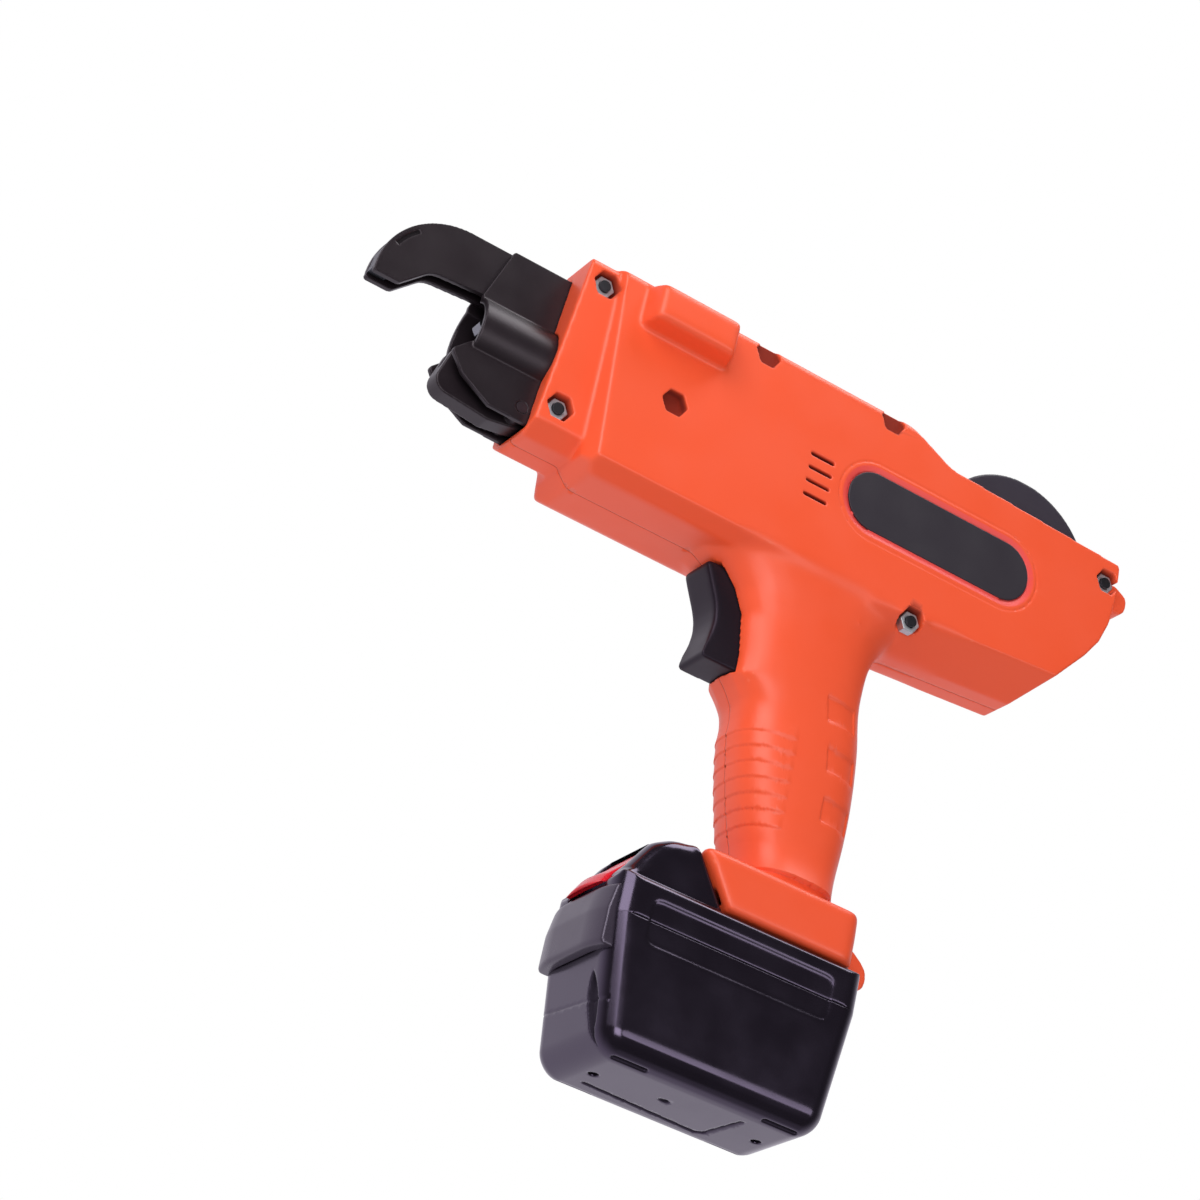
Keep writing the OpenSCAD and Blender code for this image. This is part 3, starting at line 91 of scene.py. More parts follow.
camera_data = bpy.data.cameras.new("camera")
camera_data.lens = 95.027
camera_data.sensor_width = 36
camera_data.sensor_fit = "HORIZONTAL"
camera_data.shift_x = -0.15
camera_data.shift_y = 0.04167
camera_data.clip_start = 0.01
camera_at = Vector((-436.56, -807.16, -335.0)) * MM
camera_right = Vector((0.81257, -0.55408, 0.18091))
camera_down = Vector((0.40405, 0.31177, -0.85997))
camera_ahead = Vector((0.42009, 0.77188, 0.47721))
camera = show("camera", camera_data)
camera_turn = Matrix((camera_right, -camera_down, -camera_ahead)).transposed().to_4x4()
camera.matrix_world = Matrix.Translation(camera_at) @ camera_turn
scene.camera = camera
scene.view_settings.view_transform = "Standard"

# The backdrop stands behind and below the tool; the room on the other side is dim. The camera
# sees plain white, shine mirrors the backdrop, and a softer share of it spills on the tool.
backdrop_way = (0.0, 0.99, -0.12)
spill_way = (0.0, 0.6, -0.8)
spill_share = 0.8
dim_room = 0.05
world = bpy.data.worlds.new("studio")
scene.world = world
world.use_nodes = True
tree = world.node_tree
tree.nodes.clear()
path = add(tree, "ShaderNodeLightPath")
way = add(tree, "ShaderNodeTexCoord").outputs["Generated"]
towards = add(tree, "ShaderNodeVectorMath", {0: way, 1: backdrop_way}, operation="DOT_PRODUCT")
below = add(tree, "ShaderNodeVectorMath", {0: way, 1: spill_way}, operation="DOT_PRODUCT")
room = add(tree, "ShaderNodeMapRange", {"Value": below.outputs["Value"], 1: -0.6, 2: 0.5, 3: dim_room, 4: 1.0},
           interpolation_type="SMOOTHSTEP")
mirrored = add(tree, "ShaderNodeMapRange",
               {"Value": towards.outputs["Value"], 1: -0.35, 2: 0.65, 3: dim_room, 4: 1.0},
               interpolation_type="SMOOTHSTEP")
backdrop = add(tree, "ShaderNodeBackground", {"Color": linear("#F4EFFA"), "Strength": mirrored.outputs[0]})
spill = add(tree, "ShaderNodeMath", {0: room.outputs[0], 1: spill_share}, operation="MULTIPLY")
soft = add(tree, "ShaderNodeBackground", {"Color": linear("#FFFFFF"), "Strength": spill.outputs[0]})
lit = add(tree, "ShaderNodeMixShader",
          {0: path.outputs["Is Glossy Ray"], 1: soft.outputs[0], 2: backdrop.outputs[0]})
white = add(tree, "ShaderNodeBackground", {"Color": linear("#FFFFFF"), "Strength": 1.0})
seen = add(tree, "ShaderNodeMath", {0: path.outputs["Is Camera Ray"], 1: path.outputs["Is Transmission Ray"]},
           operation="MAXIMUM")
both = add(tree, "ShaderNodeMixShader", {0: seen.outputs[0], 1: lit.outputs[0], 2: white.outputs[0]})
add(tree, "ShaderNodeOutputWorld", {"Surface": both.outputs[0]})
tool_middle = Vector((0, 0, 0.15))


def lamp(name, way, far, size, power):
    """A soft box of a size in m and a power in W, that far from the tool's middle."""
    data = bpy.data.lights.new(name, "AREA")
    data.shape = "RECTANGLE"
    data.size, data.size_y = size
    data.energy = power
    made = show(name, data)
    made.location = tool_middle + Vector(way).normalized() * far
    made.rotation_euler = (tool_middle - made.location).to_track_quat("-Z", "Y").to_euler()
    made.visible_camera = False
    return made


lamp("key", (-0.62, -0.62, 0.48), 1.1, (0.8, 0.8), 8.1)
lamp("side", (-0.25, -0.9, -0.15), 1.2, (0.6, 0.6), 5.2)
lamp("top", (0.3, -0.25, 0.95), 1.0, (0.7, 0.5), 4.5)
# Seen only as a shine on the battery's lower roll.
lamp("low_strip", (0.43, -0.86, -0.1), 0.96, (0.7, 0.3), 1.7).visible_diffuse = False

floor_half = 3
floor_gap = 0.4 * MM
floor_mesh = bpy.data.meshes.new("floor")
floor_mesh.from_pydata([(x * floor_half, y * floor_half, 0) for x, y in ((-1, -1), (1, -1), (1, 1), (-1, 1))],
                       [], [(0, 1, 2, 3)])
floor = show("floor", floor_mesh)
floor.location.z = -floor_gap
floor.visible_shadow = False
floor.visible_diffuse = False
floor.visible_glossy = False
# Matt paint with faint clouds of a third of a metre; clear from below, where the camera stands.
floor_paint, tree = new_material("pale_floor_paint")
side = add(tree, "ShaderNodeNewGeometry")
where = add(tree, "ShaderNodeTexCoord").outputs["Object"]
clouds = add(tree, "ShaderNodeTexNoise", {"Vector": where, "Scale": 3.0, "Detail": 4.0})
tone = add(tree, "ShaderNodeMix", {0: clouds.outputs[0], 6: linear("#E9E8E7"), 7: linear("#EEEDEC")},
           data_type="RGBA")
top = add(tree, "ShaderNodeBsdfDiffuse", {"Color": tone.outputs[2], "Roughness": 0.6})
clear = add(tree, "ShaderNodeBsdfTransparent")
shown = add(tree, "ShaderNodeMixShader", {0: side.outputs["Backfacing"], 1: top.outputs[0], 2: clear.outputs[0]})
add(tree, "ShaderNodeOutputMaterial", {"Surface": shown.outputs[0]})
floor_mesh.materials.append(floor_paint)

# The housing: two halves moulded in orange glass-filled nylon, closed on the middle plane and
# bolted through. Every edge has the small round that the mould leaves.
axis_h = 218  # height of the tool's axis, and all sizes below in mm
body_y = 21  # half the body's width
pocket_r = 5.2
nut_pockets = ((-97.4, 30.7), (-101.2, -18.2), (38.7, -33), (113.9, 18.5))
open_sockets = ((-65.2, -0.3), (-35.6, 35.2), (16.5, 35.6))
vents_at, vents_x, vents_v = (-12.2, 1.9), 11, 13  # middle of the slots and their reach to each side
label_at, label_l, label_r = (42.6, 1.9), 54.2, 11
seam_w = 0.4  # points so near to the middle plane belong to the parting line
seam_lap = 0.04  # the halves run so far into each other that no light shows between them
rib_foot, rib_pitch, rib_rise, rib_count = 94.6, 5.23, 0.42, 7
pads = ((14.4, 146.5, 0.21), (18.1, 129.0, 0.12), (20.0, 111.3, 0.03))  # front edge, top edge and lean
pad_l, pad_h, pad_deep = 13.0, 8.5, 0.5
slope_w, slope_deep = 2.4, 0.7  # the slope beside the label
flare_top, flare_h, flare_share = 94, 16, 0.16  # the grip widens so much towards its foot
tiny = 1e-6  # keeps a division from zero


def spots(mesh):
    """A mesh's points in mm."""
    values = np.empty(len(mesh.vertices) * 3)
    mesh.vertices.foreach_get("co", values)
    return values.reshape(-1, 3) / MM


def put_spots(mesh, points):
    """Moves a mesh's points to these places in mm."""
    mesh.vertices.foreach_set("co", (points * MM).ravel())
    mesh.update()


def outward(mesh):
    """The direction a mesh faces at each of its points."""
    values = np.empty(len(mesh.vertices) * 3)
    mesh.vertex_normals.foreach_get("vector", values)
    return values.reshape(-1, 3)


def baked(piece):
    """Gives a piece the mesh that its modifiers make."""
    mesh = bpy.data.meshes.new_from_object(piece.evaluated_get(bpy.context.evaluated_depsgraph_get()))
    piece.modifiers.clear()
    piece.data = mesh
    return mesh


def ease(value, low, high):
    """A share that rises from 0 at low to 1 at high."""
    return np.clip((value - low) / (high - low), 0, 1)


def relaxed(points, ends, need, loose):
    """Draws each point towards its neighbours, for as many rounds as it needs and along its loose axes."""
    near = np.maximum(np.bincount(ends.ravel(), minlength=len(points)), 1)
    for turn in range(int(np.ceil(need.max()))):
        if turn % 12 == 0:  # points that are done drop out
            moving = need > turn
            ends = ends[moving[ends].any(1)]
            used = np.flatnonzero(moving)
        one, two = ends[:, 0], ends[:, 1]
        sums = np.stack([np.bincount(one, points[two, k], len(points))[used]
                         + np.bincount(two, points[one, k], len(points))[used] for k in range(3)], 1)
        pull = np.clip(need[used] - turn, 0, 1)[:, None] * 0.5 * loose[used] * (near[used] > 1)[:, None]
        points[used] += pull * (sums / near[used][:, None] - points[used])
    return points


def soft_copy(node, voxel, rounds, share, free=None, trim=None, press=None, shade=None, seam=False):
    """A copy of a CAD piece with its edges rounded as a mould leaves them, on a skin of voxel mm. free scales the
    rounds of smoothing at a point, trim moves points before it and press after it, share of the faces is kept,
    shade marks points for the material's painted shade and tints, and seam keeps the parting line straight."""
    piece = show(node + "_moulding", nodes[node].data.copy())
    skin = piece.modifiers.new("skin", "REMESH")
    skin.mode = "VOXEL"
    skin.voxel_size = voxel * MM
    mesh = baked(piece)
    points, normals = spots(mesh), outward(mesh)
    ends = np.empty(len(mesh.edges) * 2, int)
    mesh.edges.foreach_get("vertices", ends)
    ends = ends.reshape(-1, 2)
    if trim is not None:
        points = trim(points)
    need = rounds * (np.ones(len(points)) if free is None else free(points))
    loose = np.ones((len(points), 3))
    if seam:
        at_seam = np.abs(points[:, 1]) < seam_w
        parting_face = at_seam & (np.abs(normals[:, 1]) > 0.8)
        loose[at_seam, 1] = 0
        need[parting_face] = 0
        ends = ends[~parting_face[ends].any(1)]
        points[at_seam & ~parting_face, 1] = 0
    points = relaxed(points, ends, need, loose)
    put_spots(mesh, points)
    if press is not None:
        normals = outward(mesh)
        if seam:
            normals[np.abs(points[:, 1]) < seam_w, 1] = 0
            normals /= np.maximum(np.linalg.norm(normals, axis=1), tiny)[:, None]
        put_spots(mesh, points + press(points, normals) * loose)
    thin = piece.modifiers.new("thin", "DECIMATE")
    thin.ratio = share
    mesh = baked(piece)
    points = spots(mesh)
    if seam:
        half = np.sign(points[:, 1].mean())
        points[np.abs(points[:, 1]) < 0.25, 1] = -seam_lap * half
        mesh.vertices.foreach_set("co", (points * MM).ravel())
    if shade is not None:
        for name, values in shade(points, outward(mesh)).items():
            mesh.attributes.new(name, "FLOAT", "POINT").data.foreach_set("value", values.astype(np.float32))
    mesh.materials.clear()
    mesh.shade_smooth()
    return piece


def finish_piece(piece, body, material, node):
    """A piece takes its material, rides on its body and stands for its CAD node."""
    piece.data.materials.clear()
    piece.data.materials.append(material)
    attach(piece, body)
    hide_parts(node)


def moulded(name, body, drift, rubbed, hollow, rough, grain, depth, ior=1.5, level=0.5, tint="#FFFFFF", rub=0.5):
    """Moulded plastic: its tone drifts slowly from body to drift, its edges are rubbed paler, its creases and points
    marked sunk are painted with shade in the hollow colour, the sunk ones dulled too, and the mould leaves a grain of
    a size and depth in mm."""
    drift_size, scuff_size, smear_size = 34 * MM, 5 * MM, 16 * MM
    material, tree = new_material(name)
    where = add(tree, "ShaderNodeTexCoord").outputs["Object"]
    shape = add(tree, "ShaderNodeNewGeometry").outputs["Pointiness"]
    sunk = add(tree, "ShaderNodeAttribute", attribute_name="sunk").outputs["Fac"]
    drifts = add(tree, "ShaderNodeTexNoise", {"Vector": where, "Scale": 1 / drift_size, "Detail": 3.0})
    tone = add(tree, "ShaderNodeMix", {0: drifts.outputs[0], 6: linear(body), 7: linear(drift)}, data_type="RGBA")
    scuffs = add(tree, "ShaderNodeTexNoise",
                 {"Vector": where, "Scale": 1 / scuff_size, "Detail": 5.0, "Roughness": 0.65})
    edge = add(tree, "ShaderNodeMapRange", {"Value": shape, 1: 0.53, 2: 0.66, 4: rub})
    worn = add(tree, "ShaderNodeMath", {0: edge.outputs[0], 1: scuffs.outputs[0]}, operation="MULTIPLY")
    paler = add(tree, "ShaderNodeMix", {0: worn.outputs[0], 6: tone.outputs[2], 7: linear(rubbed)},
                data_type="RGBA")
    # Painted shade: concave creases (low pointiness) and points marked sunk take the hollow colour.
    crease_shade = add(tree, "ShaderNodeMapRange", {"Value": shape, 1: 0.475, 2: 0.38, 4: 0.7})
    painted_shade = add(tree, "ShaderNodeMath", {0: sunk, 1: crease_shade.outputs[0]}, operation="MAXIMUM")
    colour = add(tree, "ShaderNodeMix", {0: painted_shade.outputs[0], 6: paler.outputs[2], 7: linear(hollow)},
                 data_type="RGBA")
    grains = add(tree, "ShaderNodeTexNoise", {"Vector": where, "Scale": 1 / (grain * MM), "Detail": 2.0})
    bump = add(tree, "ShaderNodeBump", {"Height": grains.outputs[0], "Distance": depth * MM, "Strength": 0.6})
    smears = add(tree, "ShaderNodeTexNoise", {"Vector": where, "Scale": 1 / smear_size, "Detail": 4.0})
    gloss = add(tree, "ShaderNodeMapRange",
                {"Value": smears.outputs[0], 1: 0.3, 2: 0.7, 3: rough - 0.05, 4: rough + 0.05})
    dull = add(tree, "ShaderNodeMath", {0: sunk, 1: 0.75, 2: gloss.outputs[0]}, operation="MULTIPLY_ADD",
               use_clamp=True)
    shader = add(tree, "ShaderNodeBsdfPrincipled", {
        "Base Color": colour.outputs[2], "Roughness": dull.outputs[0], "Normal": bump.outputs[0], "IOR": ior,
        "Specular IOR Level": level, "Specular Tint": linear(tint)})
    add(tree, "ShaderNodeOutputMaterial", {"Surface": shader.outputs[0]})
    return material


# Satin to the eye, with a fine mould grain: about 0.2 mm on the real one, drawn at 0.6 mm to show.
orange_nylon = moulded("glass_filled_nylon_orange", body="#F75A33", drift="#F4562F", rubbed="#FF8A6A",
                       hollow="#7E1D0A", rough=0.4, grain=0.6, depth=0.012)
# The ring beside the label is a little redder, and the parting line shows as a hair of shade.
tree = orange_nylon.node_tree
shader = next(n for n in tree.nodes if n.type == "BSDF_PRINCIPLED")
painted = shader.inputs["Base Color"].links[0].from_socket
ring = add(tree, "ShaderNodeAttribute", attribute_name="ring")
redder = add(tree, "ShaderNodeMix", {0: ring.outputs["Fac"], 6: painted, 7: linear("#EE4A4C")}, data_type="RGBA")
where = next(n for n in tree.nodes if n.type == "TEX_COORD").outputs["Object"]
apart = add(tree, "ShaderNodeSeparateXYZ", {0: where})
across = add(tree, "ShaderNodeMath", {0: apart.outputs["Y"]}, operation="ABSOLUTE")
hair = add(tree, "ShaderNodeMapRange", {"Value": across.outputs[0], 1: 0.08 * MM, 2: 0.3 * MM, 3: 0.55, 4: 0.0})
parted = add(tree, "ShaderNodeMix", {0: hair.outputs[0], 6: redder.outputs[2], 7: linear("#A8341C")},
             data_type="RGBA")
tree.links.new(parted.outputs[2], shader.inputs["Base Color"])


def near_pocket(points):
    """Distance in mm from the nearest hex pocket, socket or vent slot, seen from the side."""
    x, v = points[:, 0], points[:, 2] - axis_h
    far = np.min([np.hypot(x - a, v - b) for a, b in nut_pockets + open_sockets], axis=0) - pocket_r
    slots = np.maximum(np.abs(x - vents_at[0]) - vents_x, np.abs(v - vents_at[1]) - vents_v)
    return np.minimum(far, slots)


def label_edge(points):
    """Distance in mm outside the label's rounded plate."""
    x, v = points[:, 0] - label_at[0], points[:, 2] - axis_h - label_at[1]
    return np.hypot(np.maximum(np.abs(x) - label_l / 2, 0), v) - label_r


def housing_trim(points):
    """Takes a sliver of the mould flat beside the grip's root."""
    x, y, z = points.T
    sliver = (np.abs(x - 20.2) < 1) & (np.abs(z - 176.5) < 3) & (np.abs(y) > 18.3)
    return np.stack([x, np.where(sliver, np.sign(y) * 18.2, y), z], 1)


def housing_free(points):
    """Soft grip, root, foot, block and belly; crisp pockets, vents, label edge and trigger room. Each zone has its
    limits in mm and the rounds that it adds."""
    x, y, z = points.T
    v, wide = z - axis_h, np.abs(y)
    grip = ease(z, 78, 86) * ease(-z, -176, -166) * ease(x, -13, -4) * 34
    finger = ease(z, 146, 152) * ease(-z, -186, -178) * ease(-x, 0, 6) * 9
    foot_rim = ease(z, 68, 72) * np.maximum(x > 28, wide > 15)
    foot = (z < 78) * np.maximum(ease(wide, 19.4, 20.4), foot_rim) * 9
    heel = np.clip(1.4 - np.abs(z - 77.5) / 6, 0, 1) * ease(-wide, -19, -16) * 24
    root = np.clip(1.6 - np.abs(z - 181) / 10, 0, 1) * ease(x, -34, -26) * ease(-x, -62, -54) * 14
    block = ease(-y, body_y - 1.5, body_y) * (np.abs(x + 67.2) < 19) * (np.abs(v - 28.4) < 13) * 4
    ramp = ease(-x, 76, 80) * ease(wide, 12, 15) * ease(-v, -34, -30) * 2.5
    keel = ease(-v, 20, 26) * (x < -34) * 1.2
    soft = 1 + np.max([grip, finger, foot, heel, root, block, ramp, keel], axis=0)
    crisp = np.clip(near_pocket(points) / 2.5, 0, 1)
    rim = np.clip((np.abs(label_edge(points)) - 5) / 2, 0, 1) * (y < 0) + (y >= 0)
    keep = np.minimum(crisp, np.where(wide > body_y - 2, rim, 1))
    trigger_room = (wide < 8.1) & (np.abs(z - 161.8) < 17.9) & (x < 0)
    return np.where(trigger_room, 0, 0.3 + (soft - 0.3) * keep)


def housing_press(points, normals):
    """Finger ribs that step down the grip's front, sunk pads behind them, the flare of the grip into the foot, and
    the slope beside the label."""
    x, y, z = points.T
    front = np.degrees(np.arctan2(np.abs(y), 10 + (130 - z) * 0.02 - x))
    rib = (z - rib_foot) / rib_pitch
    step = (1 - (rib - np.floor(rib))) * ((rib > -1) & (rib < rib_count)) * np.where(rib < 0, rib + 1, 1)
    ribs = rib_rise * step * np.clip((80 - front) / 5, 0, 1) * (z > 86) * (z < 134)
    sunk = np.zeros(len(points))
    for left, top, lean in pads:
        along = x - left - (top - z) * lean
        lower = top + 0.04 * np.clip(along, 0, 12) - z
        inside = np.minimum.reduce([along, pad_l - along, lower, pad_h - lower])
        sunk = np.maximum(sunk, np.clip(inside / 0.4, 0, 1))
    outer = (normals[:, 1] * np.sign(y) > 0.15) & (np.abs(y) > 4)
    away = (x - 10) * normals[:, 0] + y * normals[:, 1] > 0
    facing = (np.abs(y) < body_y) & (z > 80) & (z < 170) & away
    moved = normals * (np.where(facing, ribs, 0) - pad_deep * sunk * outer * facing)[:, None]
    flare = np.clip((flare_top - z) / flare_h, 0, 1) ** 2 * np.clip((z - 77) / 2, 0, 1) * facing
    moved[:, 1] += flare_share * flare * y
    out = label_edge(points)
    on_face = (out > -0.4) * (y < -body_y + 0.6) * (normals[:, 1] < -0.5)
    moved[:, 1] += slope_deep * np.clip((slope_w - out) / slope_w, 0, 1) * on_face
    return moved


def housing_shade(points, normals):
    """Painted shade at the bottom of pockets and vent slots, and a redder ring beside the label."""
    x, y, z = points.T
    v = z - axis_h
    sunk = np.zeros(len(points))
    for places, fade in ((nut_pockets, 3.2), (open_sockets, 1.1)):
        for a, b in places:
            reach = np.hypot(x - a, v - b)
            inner = (x - a) * normals[:, 0] + (v - b) * normals[:, 2] < 0.3 * reach
            for half in (-1, 1):
                skin = (reach > 5.6) & (reach < 9) & (y * half > 9) & (normals[:, 1] * half > 0.3)
                if skin.sum() > 5:  # the face round the pocket may lean
                    table = np.stack([x - a, v - b, np.ones(len(x))], 1)
                    face = table @ np.linalg.lstsq(table[skin], y[skin] * half, rcond=None)[0]
                    inside = inner & (reach < pocket_r) & (y * half > face - 14)
                    depth = np.where(inside, face - y * half, 0)
                    sunk = np.maximum(sunk, np.clip((depth - 0.3) / fade, 0, 1) * 0.95)
    slots = (np.abs(x - vents_at[0]) < vents_x) & (np.abs(v - vents_at[1]) < vents_v) & (np.abs(y) > body_y - 5)
    sunk[slots] = np.maximum(sunk[slots], np.clip((body_y - np.abs(y[slots]) - 0.2) / 1.2, 0, 1))
    ring = np.clip((2.5 - label_edge(points)) / 0.4, 0, 1) * (y < -body_y + 3) * 0.8
    return {"sunk": sunk, "ring": ring}


for half in ("housing_left", "housing_right"):
    shell = soft_copy(half, voxel=0.42, rounds=7, share=0.16, free=housing_free, trim=housing_trim,
                      press=housing_press, shade=housing_shade, seam=True)
    finish_piece(shell, "housing", orange_nylon, half)

# The label: a bare plate of dark polycarbonate film, punched to a rounded bar and stuck
# into its recess on the left side. Its satin face scatters the light.
label_film = moulded("polycarbonate_film_dark", body="#2A242D", drift="#2C262F", rubbed="#3C3540", hollow="#171318",
                     rough=0.45, grain=0.5, depth=0.006)
plate = soft_copy("label_plate", voxel=0.25, rounds=3, share=0.3)
finish_piece(plate, "housing", label_film, "label_plate")


# Four through bolts and their nuts: rolled steel bolts, phosphated, and hex nuts, zinc
# plated, which sit in the pockets of the left half and pull the two halves together.
def machined(name, body, shade, rough, lines, depth, along=(1.0, 1.0, 1.0)):
    """Worked metal: slow stains from body to shade, and tool lines of a spacing and depth in mm, drawn out along
    the axis whose scale is smallest."""
    stain_size = 9 * MM
    material, tree = new_material(name)
    where = add(tree, "ShaderNodeTexCoord").outputs["Object"]
    stains = add(tree, "ShaderNodeTexNoise", {"Vector": where, "Scale": 1 / stain_size, "Detail": 4.0})
    tone = add(tree, "ShaderNodeMix", {0: stains.outputs[0], 6: linear(body), 7: linear(shade)}, data_type="RGBA")
    drawn = add(tree, "ShaderNodeMapping", {"Vector": where, "Scale": along})
    marks = add(tree, "ShaderNodeTexNoise", {"Vector": drawn.outputs[0], "Scale": 1 / (lines * MM), "Detail": 3.0})
    bump = add(tree, "ShaderNodeBump", {"Height": marks.outputs[0], "Distance": depth * MM, "Strength": 0.5})
    gloss = add(tree, "ShaderNodeMapRange",
                {"Value": marks.outputs[0], 1: 0.3, 2: 0.7, 3: rough - 0.06, 4: rough + 0.08})
    shader = add(tree, "ShaderNodeBsdfPrincipled", {
        "Base Color": tone.outputs[2], "Metallic": 1.0, "Roughness": gloss.outputs[0], "Normal": bump.outputs[0]})
    add(tree, "ShaderNodeOutputMaterial", {"Surface": shader.outputs[0]})
    return material


def wear(node, material):
    """A CAD piece keeps its shape and takes a finish."""
    mesh = nodes[node].data
    mesh.materials.clear()
    mesh.materials.append(material)


# Phosphate crystals make the steel dark and dull; zinc plate is pale, with a dull bloom.
phosphated_steel = machined("phosphated_steel", body="#55565C", shade="#45464B", rough=0.38, lines=0.4, depth=0.004)
plated_steel = machined("zinc_plated_steel", body="#D2D3D8", shade="#B4B5BC", rough=0.55, lines=0.3, depth=0.003)
wear("housing_bolts", phosphated_steel)
nuts = soft_copy("housing_nuts", voxel=0.16, rounds=3, share=0.35)
finish_piece(nuts, "housing", plated_steel, "housing_nuts")

# The nose covers: two half barrels with a flat above and a skirt below, pressed from steel
# sheet and blackened. The front bolt and the jaw's pin pass through their skirts.
# Black oxide hides the bare metal: near black and satin, and rubbed paler on its edges.
blackened_steel = moulded("blackened_steel", body="#1C1619", drift="#211A1F", rubbed="#4A3F48", hollow="#0C090B",
                          rough=0.36, grain=0.35, depth=0.006, level=0.48, tint="#EBDDE8")
for name in ("nose_cover_left", "nose_cover_right"):
    cover = soft_copy(name, voxel=0.3, rounds=3, share=0.3)
    finish_piece(cover, "housing", blackened_steel, name)

# The curl arm: two plates cut from steel sheet and blackened, on each side of a hardened
# crescent whose inner edge curls the wire. Its back is an arc with a fine slit at the tip.
arm_arc, arm_r = (-141.0, axis_h + 4.4), 29.0
arm_facet = 15  # the CAD arc turns in steps of so many degrees
tip_slit_r, tip_slit_half, tip_slit_deep = 26.6, 0.75, 0.5
tip_slit_from, tip_slit_to = 132, 154  # degrees round the arc


def on_arm(points):
    """Places seen from the arc's middle: x and z, the distance, and the turn in degrees."""
    x, z = points[:, 0] - arm_arc[0], points[:, 2] - arm_arc[1]
    return x, z, np.hypot(x, z), np.degrees(np.arctan2(z, x))


def arm_slit(points):
    """Share 0 to 1 of the fine slit near the arm's tip."""
    reach, turn = on_arm(points)[2:]
    across = np.clip((tip_slit_half - np.abs(reach - tip_slit_r)) / 0.25, 0, 1)
    return across * (turn > tip_slit_from) * (turn < tip_slit_to)


def arm_press(points, normals):
    """Swells the arm's back from its flats to a true arc, and sinks the slit."""
    x, z, reach, turn = on_arm(points)
    half_facet = arm_facet / 2
    flat_r = arm_r * math.cos(math.radians(half_facet))
    chord = flat_r / np.cos(np.radians((turn - 90) % arm_facet - half_facet))
    on_arc = (turn > 90) & (turn < 180)
    swell = on_arc * np.clip((reach - arm_r + 4) / 4, 0, 1) * (arm_r - chord) / np.maximum(reach, 1)
    moved = np.zeros_like(points)
    moved[:, 0], moved[:, 2] = x * swell, z * swell
    moved[:, 1] = -tip_slit_deep * np.sign(points[:, 1]) * arm_slit(points) * (np.abs(points[:, 1]) > 3.4)
    return moved


def arm_shade(points, normals):
    """Painted shade in the slit."""
    return {"sunk": arm_slit(points) * (np.abs(points[:, 1]) > 3.2)}


for name in ("curl_plate_left", "curl_plate_right"):
    plate = soft_copy(name, voxel=0.25, rounds=3, share=0.3, press=arm_press, shade=arm_shade)
    finish_piece(plate, "housing", blackened_steel, name)
wear("curl_insert", phosphated_steel)

# The lower jaw: milled from one block of steel, with the wire's gap between two cheeks, and
# blackened. It swings on a turned pin that the covers' skirts hold.
jaw = soft_copy("lower_jaw", voxel=0.3, rounds=3, share=0.3)
finish_piece(jaw, "jaw", blackened_steel, "lower_jaw")
wear("jaw_pin", blackened_steel)

# The twisting drive on the tool's axis: a motor, a phosphated gearbox, the steel bulkhead that
# carries it, and the turned hook, which runs in a brass bush.
# Ground steel shines along its fine lines, here 0.25 mm apart to show; brass is warmer and softer.
ground_steel = machined("ground_steel", body="#8E8F95", shade="#7A7B82", rough=0.27, lines=0.25, depth=0.003,
                        along=(0.08, 1.0, 1.0))
turned_brass = machined("turned_brass", body="#C9A45A", shade="#B58F48", rough=0.28, lines=0.25, depth=0.003,
                        along=(1.0, 0.1, 0.1))
for name in ("twist_motor", "gearbox_plate", "twist_hook"):
    wear(name, ground_steel)
wear("twist_gearbox", phosphated_steel)
wear("hook_bush", turned_brass)

# The wire feed: a steel plate across the housing with a motor, two hobbed and phosphated gears
# whose groove grips the wire, and brass tubes that lead it in from the reel and on to the arm.
for name in ("feed_bracket", "feed_motor"):
    wear(name, ground_steel)
for name in ("feed_drive_gear", "feed_idler_gear"):
    wear(name, phosphated_steel)
for name in ("inlet_tube", "wire_tube"):
    wear(name, turned_brass)

# The cutter: a ground steel pin that turns in the cross bore of a phosphated die and shears
# the wire that runs through both.
wear("cutter_block", phosphated_steel)
wear("rotary_cutter", ground_steel)

# The wire reel: a moulded black polypropylene spool on a ground axle, with annealed tie wire
# wound on it in close loops, one layer lying in the grooves of the layer below.
reel_at = np.array((75.8, 0.0, axis_h + 9))
wire_d = 0.9
wire_pitch = wire_d * 1.04
winding_w, winding_r = 27.2, 26
loop_points = 40


def tube(name, path, radius, sides):
    """A wire of round section along a path in mm, closed at both ends."""
    path = np.array(path, float)
    ahead = np.gradient(path, axis=0)
    ahead /= np.linalg.norm(ahead, axis=1)[:, None]
    out = np.cross(ahead, np.roll(ahead, 1, axis=1) + np.array((0.31, 0.17, 0.05)))
    out[0] /= np.linalg.norm(out[0])
    for k in range(1, len(path)):
        out[k] = out[k - 1] - ahead[k] * np.dot(out[k - 1], ahead[k])
        out[k] /= np.linalg.norm(out[k])
    over = np.cross(ahead, out)
    turns = np.linspace(0, 2 * math.pi, sides, endpoint=False)[:, None]
    rings = path[:, None] + radius * (np.cos(turns) * out[:, None] + np.sin(turns) * over[:, None])
    last = len(path) - 1
    faces = [(k * sides + i, k * sides + (i + 1) % sides, (k + 1) * sides + (i + 1) % sides, (k + 1) * sides + i)
             for k in range(last) for i in range(sides)]
    faces += [tuple(range(sides))[::-1], tuple(last * sides + i for i in range(sides))]
    mesh = bpy.data.meshes.new(name)
    mesh.from_pydata((rings.reshape(-1, 3) * MM).tolist(), [], faces)
    mesh.shade_smooth()
    return show(name, mesh)


